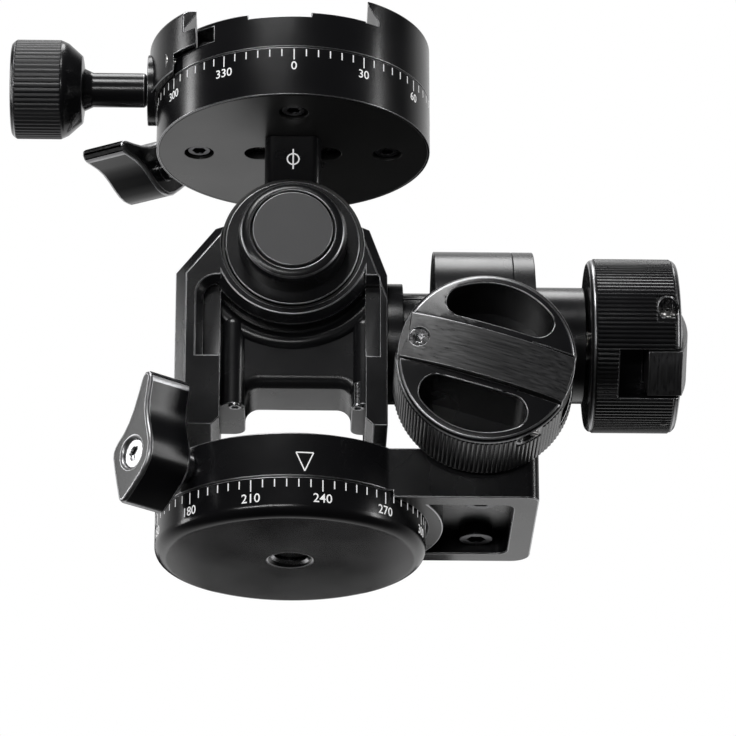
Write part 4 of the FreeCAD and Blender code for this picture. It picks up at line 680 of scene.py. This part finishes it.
def dark_card(name, corners):
    """A black card that only reflections see, as the hand and tripod were in the photograph."""
    mesh = bpy.data.meshes.new(name)
    mesh.from_pydata([Vector(corner) * MM for corner in corners], [], [(0, 1, 2, 3)])
    card = bpy.data.objects.new(name, mesh)
    scene.collection.objects.link(card)
    material, tree, shader = new_material(name)
    shader.inputs["Base Color"].default_value = (0, 0, 0, 1)
    shader.inputs["Specular IOR Level"].default_value = 0
    shader.inputs["Roughness"].default_value = 1
    mesh.materials.append(material)
    card.visible_camera = False
    card.visible_shadow = False
    card.visible_diffuse = False


def make_cards():
    """Cards behind and below the object, whose corners are in millimetres."""
    dark_card("side_card", ((-3, 48, 28), (100, 48, 28), (100, 48, 92), (-3, 48, 92)))
    dark_card("low_card", ((-40, 40, -40), (40, 40, -40), (18, 170, -40), (-18, 170, -40)))
    dark_card("left_card", ((-46, 46, -6), (-17, 46, -6), (-17, 46, 30), (-46, 46, 30)))
    dark_card("right_card", ((17, 46, -6), (36, 46, -6), (36, 46, 28), (17, 46, 28)))


# The studio's light along Y: from where to where it rises, and from what strength to what.
STUDIO_RISE = (0.2, 0.95)
STUDIO_STRENGTH = (0.01, 0.9)


def make_world():
    """White to the camera, and a studio that is bright behind the object and dark before it."""
    world = bpy.data.worlds.new("studio")
    world.use_nodes = True
    scene.world = world
    tree = world.node_tree
    tree.nodes.clear()
    output = tree.nodes.new("ShaderNodeOutputWorld")
    shown = tree.nodes.new("ShaderNodeBackground")
    shown.inputs["Color"].default_value = (1, 1, 1, 1)
    lit = tree.nodes.new("ShaderNodeBackground")
    place = tree.nodes.new("ShaderNodeTexCoord")
    split = tree.nodes.new("ShaderNodeSeparateXYZ")
    tree.links.new(place.outputs["Generated"], split.inputs["Vector"])
    behind = tree.nodes.new("ShaderNodeMapRange")
    behind.interpolation_type = "SMOOTHSTEP"
    behind.inputs["From Min"].default_value = STUDIO_RISE[0]
    behind.inputs["From Max"].default_value = STUDIO_RISE[1]
    behind.inputs["To Min"].default_value = STUDIO_STRENGTH[0]
    behind.inputs["To Max"].default_value = STUDIO_STRENGTH[1]
    tree.links.new(split.outputs["Y"], behind.inputs["Value"])
    lit.inputs["Color"].default_value = (1, 1, 1, 1)
    tree.links.new(behind.outputs["Result"], lit.inputs["Strength"])
    path = tree.nodes.new("ShaderNodeLightPath")
    either = tree.nodes.new("ShaderNodeMath")
    either.operation = "MAXIMUM"
    tree.links.new(path.outputs["Is Camera Ray"], either.inputs[0])
    tree.links.new(path.outputs["Is Transmission Ray"], either.inputs[1])
    mix = tree.nodes.new("ShaderNodeMixShader")
    tree.links.new(either.outputs[0], mix.inputs["Fac"])
    tree.links.new(lit.outputs[0], mix.inputs[1])
    tree.links.new(shown.outputs[0], mix.inputs[2])
    tree.links.new(mix.outputs[0], output.inputs["Surface"])


def softbox(name, spot, target, size, power):
    """A soft rectangular lamp aimed at a point."""
    data = bpy.data.lights.new(name, "AREA")
    data.shape = "RECTANGLE"
    data.size, data.size_y = size
    data.energy = power
    lamp = bpy.data.objects.new(name, data)
    scene.collection.objects.link(lamp)
    lamp.location = spot
    aim = Vector(target) - Vector(spot)
    lamp.rotation_mode = "QUATERNION"
    lamp.rotation_quaternion = aim.to_track_quat("-Z", "Y")


def make_lights():
    """Soft lamps whose places, sizes and powers are in metres and watts."""
    middle = (0.01, 0, 0.06)
    softbox("key_box", (-0.25, -0.85, 0.9), middle, (0.5, 0.3), 5.5)
    softbox("top_box", (-0.05, 0.1, 1.0), middle, (0.6, 0.4), 4)
    softbox("left_strip", (-1.0, 0.1, 0.25), middle, (0.16, 0.7), 2.2)
    softbox("right_strip", (1.0, -0.3, 0.2), middle, (0.06, 0.7), 2.2)
    softbox("low_strip", (-0.35, -0.95, -0.08), middle, (0.8, 0.05), 2.2)


# ---------------------------------------------------------------- the scene


MATERIALS = make_materials()
make_camera()
finish_nodes()
knob_knurling()
clamp_knurling()
dial_scale("base_dial", "base", BASE_RADIUS, BASE_SEAM, 226.7)
dial_scale("platform_dial", "roll_head", DIAL_RADIUS, DIAL_SEAM, 0)
pan_index()
neck_mark()
thread_helix()
make_floor()
make_cards()
make_world()
make_lights()
scene.view_settings.view_transform = "Standard"
